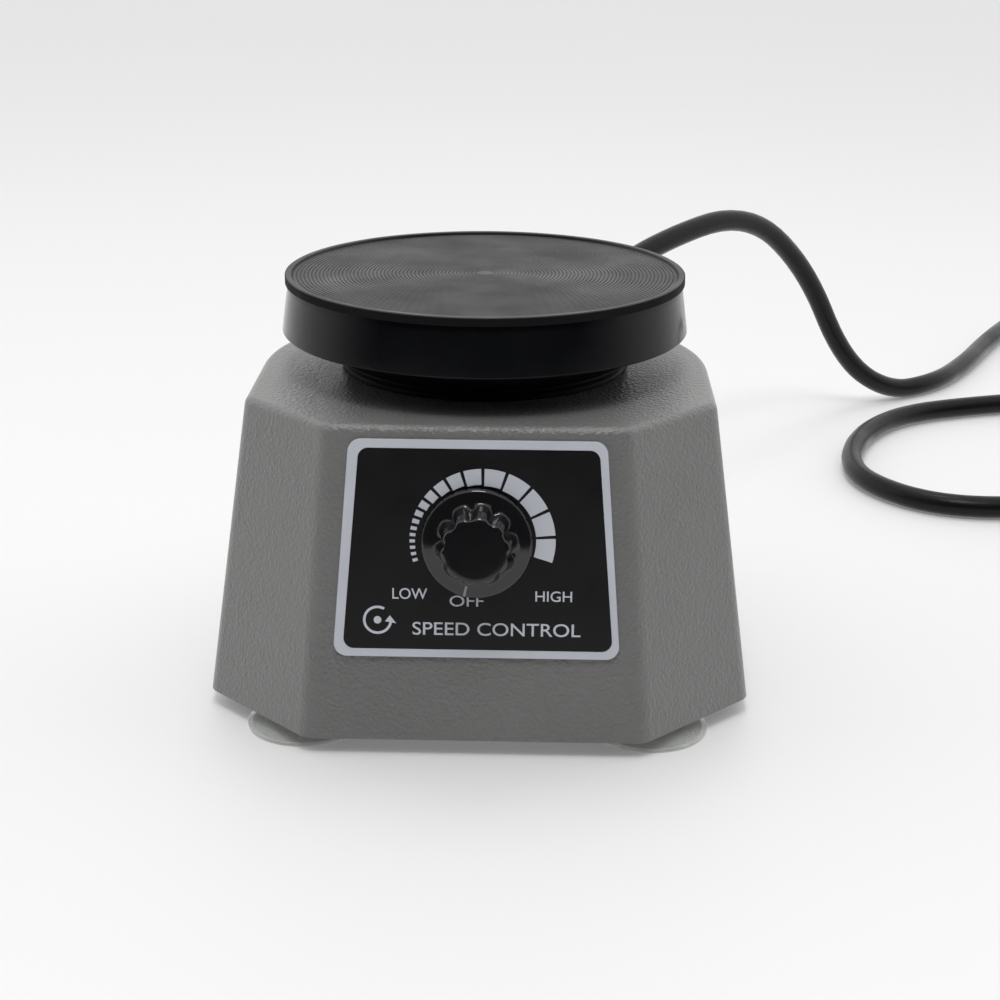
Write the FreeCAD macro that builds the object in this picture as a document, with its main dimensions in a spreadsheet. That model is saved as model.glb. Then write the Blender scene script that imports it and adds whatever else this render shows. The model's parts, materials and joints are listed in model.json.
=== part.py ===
import FreeCAD, Part
import math
import os
import re
import Sketcher
from FreeCAD import Placement, Rotation, Vector

# Bench-top vortex mixer, millimetres, +Z up. The origin is on the bench, on the motor's axis.
# -Y is the front, with the control panel and the knob. The back half is round about the motor's
# axis, and the mains lead leaves it through a short turret.

DIMENSIONS = {
    "housing": {
        "base_half": 66.7, "base_face": 40.1, "top_half": 56.5, "top_face": 34.6,
        "base_level": 4.1, "top_level": 78.4, "wall": 3.0, "edge_round": 5.5, "rim_round": 2.2,
        "shaft_opening": 15.0, "post_x": 54.5, "post_middle": -6.0, "post_y": 14.0,
        "post_round": 4.5, "post_top": 52.0,
        "play": 0.05, "screw_round": 1.5, "post_hole_deep": 14.0,
    },
    "base plate and feet": {
        "plate_gap": 0.8, "plate_low": 5.0, "plate_thick": 2.5,
        "foot_x": 42.0, "foot_middle": -6.5, "foot_y": 42.5, "foot_round": 14.2, "foot_neck": 4.6,
        "cup_hollow": 1.5, "cup_hollow_round": 6.0,
        "stud_round": 2.0, "stud_low": 2.6, "stud_top": 12.5, "nut_flats": 7.0, "nut_thick": 3.2,
        "vent_long": 22.0, "vent_wide": 3.0, "vent_pitch": 7.0, "head_round": 2.8, "head_thick": 1.8,
        "head_edge": 0.5, "drive_round": 1.2, "screw_long": 14.0,
    },
    "control panel": {
        "label_x": 0.3, "label_low": 20.6, "label_tall": 51.4, "label_half_low": 33.5,
        "label_half_high": 29.6, "label_thick": 0.8, "label_round": 3.0,
        "knob_x": 0.3, "knob_rise": 48.2, "bush_round": 4.5,
    },
    "knob and speed control": {
        "knob_gap": 1.3, "skirt_round": 12.9, "skirt_top": 3.4, "cap_low_round": 9.9,
        "cap_top_round": 7.8, "cap_top": 11.2, "lobes": 10, "lobe_cut": 1.7, "knob_recess": 7.2,
        "recess_top": 3.3, "pot_shaft_round": 3.0, "pot_body_round": 8.2, "pot_body_deep": 9.0,
        "pot_nut_flats": 11.0, "pot_nut_thick": 2.0, "pot_tab_deep": 7.0, "pot_tab_pitch": 5.0,
        "pot_tab_wide": 1.6, "pot_tab_long": 4.0, "pot_tab_thick": 0.6, "pointer_long": 2.4,
        "pointer_wide": 0.9,
        "pointer_thick": 0.15, "pointer_gap": 0.15, "off_angle": 257.0, "flute_angle": 129.0,
        "flute_out": 0.8, "flute_low": 3.85,
    },
    "motor": {
        "bracket_half": 38.0, "bracket_low": 13.5, "bracket_thick": 2.0, "mount_spot": 31.0,
        "bracket_corner": 6.0, "bell_spot": 14.0, "grommet_round": 5.5, "grommet_waist": 4.6,
        "motor_screw_round": 2.0, "motor_head_round": 3.8,
        "can_round": 29.0, "can_wall": 1.5, "bell_thick": 2.5, "can_top": 58.0, "boss_round": 9.0,
        "bearing_round": 7.0, "bearing_long": 7.0, "shaft_round": 4.0, "shaft_low": 12.2,
        "shaft_top": 76.0, "run_gap": 0.03, "stator_low": 26.0, "stator_top": 46.0,
        "stator_bore": 16.6, "rotor_round": 16.1, "winding_tall": 5.0, "fan_level": 52.2,
        "fan_round": 15.5, "fan_tall": 4.6, "fan_disc": 1.0, "fan_boss_round": 7.0, "blades": 8,
        "blade_thick": 1.0, "slots": 8, "slot_half": 1.6, "slot_deep": 5.0, "winding_inner": 18.0,
        "winding_outer": 26.0, "ring_round": 13.0, "ring_thick": 2.0,
    },
    "eccentric drive": {
        "eccentricity": 2.0, "hub_low": 66.0, "hub_top": 82.2, "hub_round": 11.0,
        "pin_round": 3.98, "pin_top": 93.0, "shoulder_round": 5.2, "race_low": 83.2,
        "race_wide": 7.0, "race_bore": 4.0, "race_outer": 11.0, "inner_land": 6.1,
        "outer_land": 8.9, "ball_round": 1.98, "ball_groove": 2.03, "ball_pitch": 7.5, "balls": 7,
        "weight_round": 24.0, "weight_ring": 14.0, "weight_low": 66.5, "weight_tall": 5.0,
        "weight_angle": 150.0,
        "set_screw_level": 73.8, "circlip_round": 5.7, "circlip_thick": 0.85,
    },
    "platform": {
        "platform_low": 88.5, "disc_low": 97.7, "disc_top": 100.7, "mat_top": 102.8,
        "platform_round": 50.0, "lip_round": 51.0, "skirt_inner": 47.4, "mat_field": 48.2,
        "bead_tall": 0.4, "head_boss_round": 14.5, "head_flange_round": 22.0,
        "flange_thick": 3.0, "roof_thick": 3.5, "platform_screw_pitch": 18.5,
    },
    "dust boot": {
        "boot_foot_round": 36.2, "boot_seat": 28.0, "boot_sheet": 1.6, "boot_top": 97.1,
        "belly_round": 44.6, "belly_rise": 12.0, "knee_round": 37.2, "knee_rise": 3.3,
        "boot_head_round": 2.2, "clamp_outer": 33.0, "clamp_inner": 28.2, "clamp_thick": 1.5,
        "clamp_pitch": 30.6,
    },
    "electronics": {
        "board_low": 13.0, "board_thick": 1.6, "board_half": 27.0, "board_front": -56.0,
        "board_back": -41.0, "board_hole_in": 1.8, "board_hole": 1.3, "standoff_round": 2.0,
        "board_head_round": 1.9, "board_head_tall": 1.5,
        "triac_left": -19.0, "triac_front": -50.2, "triac_wide": 10.0, "triac_thick": 4.4,
        "triac_tall": 9.0, "leg_long": 3.0, "leg_half": 0.4, "leg_pitch": 2.5,
        "sink_left": -21.0, "sink_front": -45.7, "sink_wide": 14.0, "sink_web": 1.5, "sink_deep": 4.5,
        "sink_tall": 17.0, "fin_pitch": 4.0, "fin_wide": 1.2,
        "capacitor_left": -1.0, "capacitor_front": -52.5, "capacitor_wide": 13.0,
        "capacitor_deep": 7.5, "capacitor_tall": 10.0,
        "choke_x": 18.8, "choke_y": -48.5, "choke_ring": 3.2, "choke_wire": 1.5,
        "block_half": 15.0, "block_front": 44.0, "block_deep": 10.0, "block_tall": 12.0,
        "well_round": 1.9, "well_deep": 4.0, "well_pitch": 5.0, "well_first": 6.0, "wire_round": 0.9,
    },
    "mains lead": {
        "gland_x": 25.0, "gland_level": 58.0, "gland_flats": 18.0, "gland_hex": 5.0,
        "gland_dome": 12.3, "dome_round": 8.6, "gland_thread": 6.0, "gland_inside": 5.0,
        "locknut_thick": 4.0, "sleeve_root": 5.4, "sleeve_top": 45.0, "sleeve_tip_round": 4.5,
        "sleeve_deep": 20.0, "turret_round": 14.0, "turret_deep": 18.0, "lead_round": 3.6,
        "coil_x": 228.0, "coil_y": 94.0,
        "coil_mid_round": 40.0, "coil_band": 7.2, "coil_edge": 2.0,
    },
    "plug": {
        "tail_level": 10.0, "tail_start": 90.0, "tail_long": 30.0, "neck_round": 4.6,
        "neck_long": 14.0, "shoulder_long": 8.0, "plug_long": 44.0, "neck_half_wide": 7.0,
        "neck_half_tall": 6.0, "shoulder_half_wide": 12.0, "plug_half_wide": 13.0,
        "plug_half_tall": 10.0, "plug_edge": 2.5, "blade_spot": 6.35, "blade_half_wide": 3.15,
        "blade_half_thick": 0.75, "blade_inside": 10.0, "blade_long": 17.0,
    },
}

# Corners of the lead's free route, from inside the sleeve to the coil.
LEAD_ROUTE = [
    (25, 84.1, 61.4), (25, 122, 66.6), (50, 151, 78.5), (84, 189, 83), (109, 214, 58), (127, 230, 19),
    (147, 241, 3.6), (167, 254, 3.6), (184, 282, 3.6), (198, 313, 3.6), (214, 345, 3.6), (232, 374, 3.6),
    (264, 386, 3.6), (295, 375, 3.6), (312, 345, 3.6), (310, 309, 3.6), (292, 275, 3.6), (260, 249, 3.6),
    (218, 235, 3.6), (176, 223, 3.6), (147, 210, 3.6), (129, 186, 3.6), (120, 157, 3.6), (121, 132, 3.6),
    (138, 110, 3.6), (165, 106, 3.6), (188, 117, 3.6), (200, 125, 3.6),
]

# Corners of the thin insulated wires inside the housing: lead to terminal block, block to board,
# speed control to board, and board to motor.
WIRE_ROUTES = [
    [(23.7, 53, 57.1), (23, 46, 54), (18, 44, 44), (9, 47.5, 34), (6, 49, 26), (6, 49, 16.5)],
    [(26.3, 53, 57.1), (27, 46, 54), (29, 44, 42), (21, 47.5, 31), (11, 49, 26), (11, 49, 16.5)],
    [(-6, 49, 16.5), (-6, 49, 26), (-10, 48, 33), (-27, 42, 35), (-43, 22, 33), (-45, -8, 28),
     (-38, -34, 22), (-24, -45, 21), (-22.5, -50, 15.4)],
    [(-11, 49, 16.5), (-11, 49, 24), (-16, 48, 29), (-29, 44, 29), (-47, 22, 26), (-49, -8, 22),
     (-42, -36, 19), (-27, -48, 21), (-25.2, -50, 15.4)],
    [(-4.7, -51.8, 37.6), (-5, -51, 30), (-4.5, -54, 22), (-4.5, -54.3, 15.4)],
    [(0.3, -51.8, 37.6), (0.4, -51.5, 31), (-2.8, -54.4, 23), (-2.6, -54.5, 15.4)],
    [(5.3, -51.8, 37.6), (5.5, -52.4, 31), (6, -54.3, 23), (6, -54.5, 15.4)],
    [(13.5, -27, 22), (14.5, -33, 23), (14.5, -40, 22), (14.5, -43, 15.4)],
    [(16.3, -25.6, 24), (18, -33, 26), (18.5, -39, 24), (18.2, -42.2, 15.4)],
]


doc = FreeCAD.newDocument("vortex_mixer")
sheet = doc.addObject("Spreadsheet::Sheet", "Dims")
ALIASES = set()


def fill_sheet():
    row = 1
    for group, cells in DIMENSIONS.items():
        sheet.set(f"A{row}", group)
        row += 1
        for alias, number in cells.items():
            sheet.set(f"A{row}", alias)
            sheet.set(f"B{row}", str(number))
            sheet.setAlias(f"B{row}", alias)
            ALIASES.add(alias)
            row += 1
    doc.recompute()


def bound(text):
    """Turn an expression in plain aliases into one that reads the sheet."""
    words = re.split(r"([a-z][a-z_]+)", str(text))
    return "".join("Dims." + word if word in ALIASES else word for word in words)


def size(alias):
    return float(sheet.get(alias))


def base_element(body, role):
    return next(f for f in body.Origin.OriginFeatures if f.Role == role)


def new_body(label):
    body = doc.addObject("PartDesign::Body", label)
    body.Label = label
    return body


def new_sketch(body, plane="XY_Plane", level=None):
    sketch = body.newObject("Sketcher::SketchObject", body.Name + "_sketch")
    sketch.AttachmentSupport = [(base_element(body, plane), "")]
    sketch.MapMode = "FlatFace"
    if level is not None:
        sketch.setExpression("AttachmentOffset.Base.z", bound(level))
    return sketch


def bind(sketch, kind, geometry, point, text, start):
    index = sketch.addConstraint(Sketcher.Constraint(kind, -1, 1, geometry, point, start))
    sketch.setExpression(f"Constraints[{index}]", bound(text))


def draw_outline(sketch, corners):
    """A closed polygon whose corners are bound to the sheet."""
    first = sketch.GeometryCount
    count = len(corners)
    turns = [Rotation(Vector(0, 0, 1), 360 * i / count) for i in range(count)]
    start = [turn.multVec(Vector(20, 0, 0)) for turn in turns]
    for i in range(count):
        sketch.addGeometry(Part.LineSegment(start[i], start[(i + 1) % count]), False)
    for i in range(count):
        sketch.addConstraint(Sketcher.Constraint("Coincident", first + i, 2, first + (i + 1) % count, 1))
    for i, (x, y) in enumerate(corners):
        bind(sketch, "DistanceX", first + i, 1, x, start[i].x)
        bind(sketch, "DistanceY", first + i, 1, y, start[i].y)


def draw_circle(sketch, radius, x="0", y="0"):
    index = sketch.addGeometry(Part.Circle(Vector(1, 1, 0), Vector(0, 0, 1), 5), False)
    bind(sketch, "DistanceX", index, 3, x, 1)
    bind(sketch, "DistanceY", index, 3, y, 1)
    constraint = sketch.addConstraint(Sketcher.Constraint("Radius", index, 5))
    sketch.setExpression(f"Constraints[{constraint}]", bound(radius))


def pad(body, sketch, length):
    feature = body.newObject("PartDesign::Pad", body.Name + "_pad")
    feature.Profile = sketch
    feature.setExpression("Length", bound(length))
    body.Tip = feature
    return feature


def cut_up(body, sketch, length):
    """A pocket from the sketch's plane along its normal, checked by volume."""
    doc.recompute()
    before = body.Shape.Volume
    feature = body.newObject("PartDesign::Pocket", body.Name + "_pocket")
    feature.Profile = sketch
    feature.Reversed = True
    feature.setExpression("Length", bound(length))
    body.Tip = feature
    doc.recompute()
    if body.Shape.Volume > before - 1e-3:
        raise RuntimeError(f"{feature.Label} cuts nothing")
    return feature


def mirror_four(body, feature, middle="0"):
    """Repeat a feature on both sides of the YZ plane and of the plane y = middle."""
    doc.recompute()
    across = body.newObject("PartDesign::Plane", body.Name + "_middle")
    across.AttachmentSupport = [(base_element(body, "XZ_Plane"), "")]
    across.MapMode = "FlatFace"
    across.setExpression("AttachmentOffset.Base.z", bound(f"-({middle})"))
    doc.recompute()
    repeat = body.newObject("PartDesign::MultiTransform", body.Name + "_four")
    repeat.Originals = [feature]
    steps = []
    for plane in (base_element(body, "YZ_Plane"), across):
        step = body.newObject("PartDesign::Mirrored", body.Name + "_mirror")
        step.MirrorPlane = (plane, [""])
        steps.append(step)
    repeat.Transformations = steps
    body.Tip = repeat
    return repeat


def polar(body, features, count):
    doc.recompute()
    repeat = body.newObject("PartDesign::PolarPattern", body.Name + "_polar")
    repeat.Originals = features
    repeat.Axis = (base_element(body, "Z_Axis"), [""])
    repeat.Angle = 360
    repeat.setExpression("Occurrences", bound(count))
    body.Tip = repeat
    return repeat


def repeat_up(body, feature, distance):
    """A second copy of the feature, that far above it."""
    doc.recompute()
    repeat = body.newObject("PartDesign::LinearPattern", body.Name + "_pair")
    repeat.Originals = [feature]
    repeat.Direction = (base_element(body, "Z_Axis"), [""])
    repeat.setExpression("Length", bound(distance))
    repeat.Occurrences = 2
    body.Tip = repeat


def turned(label, profile, spot=None):
    """A revolved body. The profile is (radius, height); spot is the axis's x and y."""
    body = new_body(label)
    if spot is None:
        sketch = new_sketch(body, "XZ_Plane")
        draw_outline(sketch, profile)
        axis = "V_Axis"
    else:
        x, y = spot
        sketch = new_sketch(body, "XZ_Plane", f"-({y})")
        draw_outline(sketch, [(f"({x}) + {radius}", height) for radius, height in profile])
        line = sketch.addGeometry(Part.LineSegment(Vector(1, 0, 0), Vector(1, 9, 0)), True)
        bind(sketch, "DistanceX", line, 1, x, 1)
        bind(sketch, "DistanceX", line, 2, x, 1)
        bind(sketch, "DistanceY", line, 1, "0", 0)
        bind(sketch, "DistanceY", line, 2, "9", 9)
        axis = "Axis0"
    feature = body.newObject("PartDesign::Revolution", label + "_turn")
    feature.Profile = sketch
    feature.ReferenceAxis = (sketch, [axis])
    feature.Angle = 360
    body.Tip = feature
    return body


def disc(label, radius, low, top, bore=None, spot=None):
    """A turned disc, or a ring when it has a bore."""
    inner = bore if bore is not None else "0"
    return turned(label, [(inner, low), (radius, low), (radius, top), (inner, top)], spot)


def plate(label, corners, low, thick):
    body = new_body(label)
    sketch = new_sketch(body, level=low)
    draw_outline(sketch, corners)
    pad(body, sketch, thick)
    return body


def four_screws(label, spot, seat, tip, head, shank, side, middle="0"):
    """Four pan-head screws. The head lies under its seat for side 1, and over it for side -1."""
    face = f"{seat} - ({side}) * head_thick"
    recess = f"{seat} - ({side}) * head_thick / 2"
    screws = turned(label, [
        ("0", recess), ("drive_round", recess), ("drive_round", face), (f"{head} - head_edge", face),
        (head, f"{seat} - ({side}) * (head_thick - head_edge)"), (head, seat), (shank, seat),
        (shank, tip), ("0", tip),
    ], spot)
    mirror_four(screws, screws.Tip, middle)
    return screws


def half_octagon(half, face):
    return [
        (half, "0"), (f"-({half})", "0"), (f"-({half})", f"-({face})"), (f"-({face})", f"-({half})"),
        (face, f"-({half})"), (half, f"-({face})"),
    ]


def add_round_back(body, profile):
    """Add the back half, a half turn of a (radius, height) profile about the Z axis."""
    sketch = new_sketch(body, "XZ_Plane")
    draw_outline(sketch, profile)
    feature = body.newObject("PartDesign::Revolution", body.Name + "_back")
    feature.Profile = sketch
    feature.ReferenceAxis = (sketch, ["V_Axis"])
    feature.Angle = 180
    feature.Refine = True
    body.Tip = feature
    doc.recompute()
    if body.Shape.BoundBox.YMax < 1:
        feature.Reversed = True
        doc.recompute()


def hexagon(flats):
    reach = f"{flats} / sqrt(3)"
    angles = [f"{60 * i} deg" for i in range(6)]
    return [(f"{reach} * cos({angle})", f"{reach} * sin({angle})") for angle in angles]


def rectangle(x_low, y_low, x_high, y_high):
    return [(x_low, y_low), (x_high, y_low), (x_high, y_high), (x_low, y_high)]


def four_spots(x, y, middle="0"):
    return [(f"{sx}({x})", f"{middle} {sy} ({y})") for sx in ("", "-") for sy in ("+", "-")]


def four_holes(body, x, y, radius, low, deep, middle="0"):
    sketch = new_sketch(body, level=low)
    for spot_x, spot_y in four_spots(x, y, middle):
        draw_circle(sketch, radius, spot_x, spot_y)
    return cut_up(body, sketch, deep)


def bore(body, radius, length, placement):
    """Cut a straight hole. Its local +Z runs from placement along the hole."""
    before = body.Shape.Volume
    tool = body.newObject("PartDesign::SubtractiveCylinder", body.Name + "_bore")
    tool.AttachmentSupport = [(base_element(body, "XY_Plane"), "")]
    tool.MapMode = "FlatFace"
    tool.AttachmentOffset = placement
    tool.setExpression("Radius", bound(radius))
    tool.setExpression("Height", bound(length))
    body.Tip = tool
    doc.recompute()
    if body.Shape.Volume > before - 1e-3:
        raise RuntimeError(f"{tool.Label} cuts nothing")
    return tool


def round_edges(body, radius, wanted):
    """Fillet the edges of the tip that the test picks."""
    doc.recompute()
    base = body.Tip
    names = [f"Edge{i}" for i, edge in enumerate(base.Shape.Edges, 1) if wanted(edge)]
    feature = body.newObject("PartDesign::Fillet", body.Name + "_round")
    feature.Base = (base, names)
    feature.setExpression("Radius", bound(radius))
    body.Tip = feature
    doc.recompute()
    return feature


def is_upright(edge):
    """Picks the edges that climb."""
    box = edge.BoundBox
    return box.ZLength > 0.6 * edge.Length and len(edge.Vertexes) == 2


def wall_tilt():
    return math.atan2(size("base_half") - size("top_half"), size("top_level") - size("base_level"))


def front_frame(x=0.0, rise=0.0, out=0.0):
    """A placement on the front wall: local X is right, Y is up the slope, Z is outwards."""
    tilt = wall_tilt()
    up = Vector(0, math.sin(tilt), math.cos(tilt))
    away = Vector(0, -math.cos(tilt), math.sin(tilt))
    corner = Vector(x, -size("base_half"), size("base_level"))
    return Placement(corner + up * rise + away * out, Rotation(Vector(1, 0, 0), 90 - math.degrees(tilt)))


def knob_frame(out=0.0, spin=0.0):
    turn = Placement(Vector(), Rotation(Vector(0, 0, 1), spin))
    return front_frame(size("knob_x"), size("knob_rise"), out) * turn


def back_frame(out=0.0):
    """A placement on the back wall at the gland: local Z is outwards."""
    tilt = wall_tilt()
    level = size("gland_level")
    depth = size("base_half") - (level - size("base_level")) * math.tan(tilt)
    away = Vector(0, math.cos(tilt), math.sin(tilt))
    spot = Vector(size("gland_x"), depth, level)
    return Placement(spot + away * out, Rotation(Vector(1, 0, 0), math.degrees(tilt) - 90))


def reach(edge, level):
    """How far out an upright edge's end at the level is, or 0."""
    ends = [v.Point for v in edge.Vertexes if abs(v.Point.z - level) < 0.01]
    return max((max(abs(p.x), abs(p.y)) for p in ends), default=0)


def cut_front_corner(body):
    """Cut the block's front right corner to the 45 degree face."""
    low = (size("base_half") + size("base_face")) / math.sqrt(2)
    high = (size("top_half") + size("top_face")) / math.sqrt(2)
    tilt = math.atan2(low - high, size("top_level") - size("base_level"))
    turn = Rotation(Vector(0, 0, 1), -135) * Rotation(Vector(1, 0, 0), math.degrees(tilt))
    spot = Vector(low / math.sqrt(2), -low / math.sqrt(2), size("base_level"))
    before = body.Shape.Volume
    corner = body.newObject("PartDesign::SubtractiveBox", "housing_corner")
    corner.AttachmentSupport = [(base_element(body, "XY_Plane"), "")]
    corner.MapMode = "FlatFace"
    corner.Length = 200
    corner.Width = 60
    corner.Height = 200
    corner.AttachmentOffset = Placement(spot, turn) * Placement(Vector(-100, 0, -50), Rotation())
    body.Tip = corner
    doc.recompute()
    if body.Shape.Volume > before - 1:
        raise RuntimeError("the corner cut misses")
    return corner


def make_turret(body):
    """A short round turret on the back, whose end is the flat seat of the cord gland."""
    turret = body.newObject("PartDesign::AdditiveCylinder", "gland_turret")
    turret.AttachmentSupport = [(base_element(body, "XY_Plane"), "")]
    turret.MapMode = "FlatFace"
    turret.AttachmentOffset = back_frame(-size("turret_deep"))
    turret.setExpression("Radius", bound("turret_round"))
    turret.setExpression("Height", bound("turret_deep"))
    body.Tip = turret
    doc.recompute()


def make_housing():
    """Casting with half an octagon in front and a round back, both narrowing upwards."""
    body = new_body("housing")
    block = body.newObject("PartDesign::AdditiveWedge", "housing_block")
    block.AttachmentSupport = [(base_element(body, "XY_Plane"), "")]
    block.MapMode = "FlatFace"
    block.AttachmentOffset = Placement(Vector(0, 0, size("base_level")), Rotation(Vector(1, 0, 0), 90))
    sizes = {
        "Xmin": "-base_half", "Zmin": "0", "Xmax": "base_half", "Zmax": "base_half",
        "X2min": "-top_half", "Z2min": "0", "X2max": "top_half", "Z2max": "top_half",
        "Ymin": "0", "Ymax": "top_level - base_level",
    }
    for name, text in sizes.items():
        block.setExpression(name, bound(text))
    body.Tip = block
    doc.recompute()
    corner = cut_front_corner(body)
    other = body.newObject("PartDesign::Mirrored", "housing_corners")
    other.Originals = [corner]
    other.MirrorPlane = (base_element(body, "YZ_Plane"), [""])
    body.Tip = other
    add_round_back(body, [
        ("0", "base_level"), ("base_half", "base_level"), ("top_half", "top_level"), ("0", "top_level"),
    ])
    make_turret(body)
    low = size("base_level")
    base = body.Tip
    faces = enumerate(base.Shape.Faces, 1)
    floor = next(f"Face{i}" for i, face in faces if face.BoundBox.ZMax < low + 0.01)
    hollow = body.newObject("PartDesign::Thickness", "housing_hollow")
    hollow.Base = (base, [floor])
    hollow.setExpression("Value", bound("wall"))
    hollow.Reversed = True
    hollow.Join = 1
    body.Tip = hollow
    doc.recompute()
    inner = size("base_half") - size("wall")
    round_edges(body, "edge_round", lambda edge: is_upright(edge) and reach(edge, low) > inner
                and edge.BoundBox.YMax < -1)
    top = size("top_level")
    round_edges(body, "rim_round", lambda edge: abs(edge.BoundBox.ZMin - top) < 0.01)
    posts = new_sketch(body, level="plate_low + plate_thick")
    for x, y in four_spots("post_x", "post_y", "post_middle"):
        draw_circle(posts, "post_round", x, y)
    pad(body, posts, "post_top - plate_low - plate_thick")
    four_holes(body, "post_x", "post_y", "screw_round", "plate_low + plate_thick", "post_hole_deep",
               "post_middle")
    opening = new_sketch(body, level="top_level - wall - 1")
    draw_circle(opening, "shaft_opening")
    cut_up(body, opening, "wall + 2")
    clamp = "clamp_pitch / sqrt(2)"
    four_holes(body, clamp, clamp, "screw_round", "top_level - wall - 1", "wall + 2")
    bore(body, "bush_round + 0.1", "wall + 4", knob_frame(-size("wall") - 2))
    bore(body, "gland_thread + 0.1", "wall + 4", back_frame(-size("wall") - 2))


def make_base():
    low = "plate_low - 1"
    deep = "plate_thick + 2"
    half = "base_half - wall - plate_gap"
    top = "plate_low + plate_thick"
    body = plate("base_plate", half_octagon(half, "base_face - (wall + plate_gap) * (sqrt(2) - 1)"),
                 "plate_low", "plate_thick")
    add_round_back(body, [("0", "plate_low"), (half, "plate_low"), (half, top), ("0", top)])
    four_holes(body, "post_x", "post_y", "screw_round", low, deep, "post_middle")
    four_holes(body, "foot_x", "foot_y", "stud_round + play", low, deep, "foot_middle")
    four_holes(body, "mount_spot", "mount_spot", "motor_screw_round + play", low, deep)
    vents = new_sketch(body, level=low)
    for i in range(-2, 3):
        front = f"{i} * vent_pitch - vent_wide / 2"
        draw_outline(vents, rectangle("-vent_long / 2", front, "vent_long / 2", f"{front} + vent_wide"))
    cut_up(body, vents, deep)
    post = ("post_x", "post_middle + post_y")
    four_screws("base_screws", post, "plate_low", "plate_low + screw_long", "head_round",
                "screw_round - play", 1, "post_middle")

    foot_x, foot_y = "foot_x", "foot_middle + foot_y"
    feet = turned("suction_feet", [
        ("0", "cup_hollow"), ("cup_hollow_round", "cup_hollow - 0.3"), ("foot_round - 1.6", "0"),
        ("foot_round", "0"), ("foot_round", "0.7"), ("8.2", "3"), ("5.8", "3.6"),
        ("foot_neck", "plate_low"), ("stud_round + play", "plate_low"),
        ("stud_round + play", "stud_low"), ("0", "stud_low"),
    ], (foot_x, foot_y))
    mirror_four(feet, feet.Tip, "foot_middle")
    studs = disc("foot_studs", "stud_round", "stud_low", "stud_top", spot=(foot_x, foot_y))
    mirror_four(studs, studs.Tip, "foot_middle")
    nuts = new_body("foot_nuts")
    sketch = new_sketch(nuts, level=top)
    draw_outline(sketch, [(f"{foot_x} + {x}", f"{foot_y} + {y}") for x, y in hexagon("nut_flats")])
    draw_circle(sketch, "stud_round + play", foot_x, foot_y)
    mirror_four(nuts, pad(nuts, sketch, "nut_thick"), "foot_middle")


def make_control_panel():
    body = plate("control_panel", [
        ("label_x - label_half_low", "label_low"), ("label_x + label_half_low", "label_low"),
        ("label_x + label_half_high", "label_low + label_tall"),
        ("label_x - label_half_high", "label_low + label_tall"),
    ], "0", "label_thick")
    round_edges(body, "label_round", is_upright)
    hole = new_sketch(body, level="-1")
    draw_circle(hole, "bush_round + 0.1", "knob_x", "knob_rise")
    cut_up(body, hole, "label_thick + 2")
    body.Placement = front_frame()


def make_speed_control():
    back = "-(wall + pot_body_deep)"
    socket = "pot_shaft_round + 0.2"
    socket_end = "-wall - 4"
    body = turned("pot_body", [
        ("0", back), ("pot_body_round", back), ("pot_body_round", "-wall"), (socket, "-wall"),
        (socket, socket_end), ("0", socket_end),
    ])
    tabs = new_sketch(body, level="-wall - pot_tab_deep")
    for x in ("-pot_tab_pitch", "0", "pot_tab_pitch"):
        left = f"{x} - pot_tab_wide / 2"
        draw_outline(tabs, rectangle(left, "-pot_body_round - pot_tab_long",
                                     f"{left} + pot_tab_wide", "-pot_body_round + 3"))
    pad(body, tabs, "pot_tab_thick")
    bush = disc("pot_bush", "bush_round", "-wall", "label_thick + pot_nut_thick + 0.1",
                "pot_shaft_round + play")
    nut = new_body("pot_nut")
    sketch = new_sketch(nut, level="label_thick")
    draw_outline(sketch, hexagon("pot_nut_flats"))
    draw_circle(sketch, "bush_round + play")
    pad(nut, sketch, "pot_nut_thick")
    shaft = disc("pot_shaft", "pot_shaft_round", f"{socket_end} + 0.3", "cap_top - 1.6")
    for piece in (body, bush, nut, shaft):
        piece.Placement = knob_frame()


def make_knob():
    hole = "pot_shaft_round + run_gap"
    hole_end = "cap_top - 1.5"
    body = turned("speed_knob", [
        (hole, "recess_top"), ("knob_recess", "recess_top"), ("knob_recess", "knob_gap"),
        ("skirt_round - 0.3", "knob_gap"), ("skirt_round", "knob_gap + 0.3"),
        ("skirt_round", "skirt_top - 0.5"), ("skirt_round - 0.4", "skirt_top"),
        ("cap_low_round", "skirt_top"), ("cap_top_round", "cap_top - 0.4"),
        ("cap_top_round - 0.4", "cap_top"), ("0", "cap_top"), ("0", hole_end), (hole, hole_end),
    ])
    doc.recompute()
    angle = math.radians(size("off_angle") + size("flute_angle"))
    climb = size("cap_top") - size("skirt_top")
    lean = math.degrees(math.atan2(size("cap_low_round") - size("cap_top_round"), climb))
    spot_round = size("cap_low_round") + size("flute_out")
    spot = Vector(spot_round * math.cos(angle), spot_round * math.sin(angle), size("flute_low"))
    across = Vector(-math.sin(angle), math.cos(angle), 0)
    flute = bore(body, "lobe_cut", "cap_top", Placement(spot, Rotation(across, -lean)))
    polar(body, [flute], "lobes")
    body.Placement = knob_frame()
    start = "cap_low_round + pointer_gap"
    pointer = plate("knob_pointer", rectangle(start, "-pointer_wide / 2", f"{start} + pointer_long",
                                              "pointer_wide / 2"), "skirt_top", "pointer_thick")
    pointer.Placement = knob_frame(spin=size("off_angle"))


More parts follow.
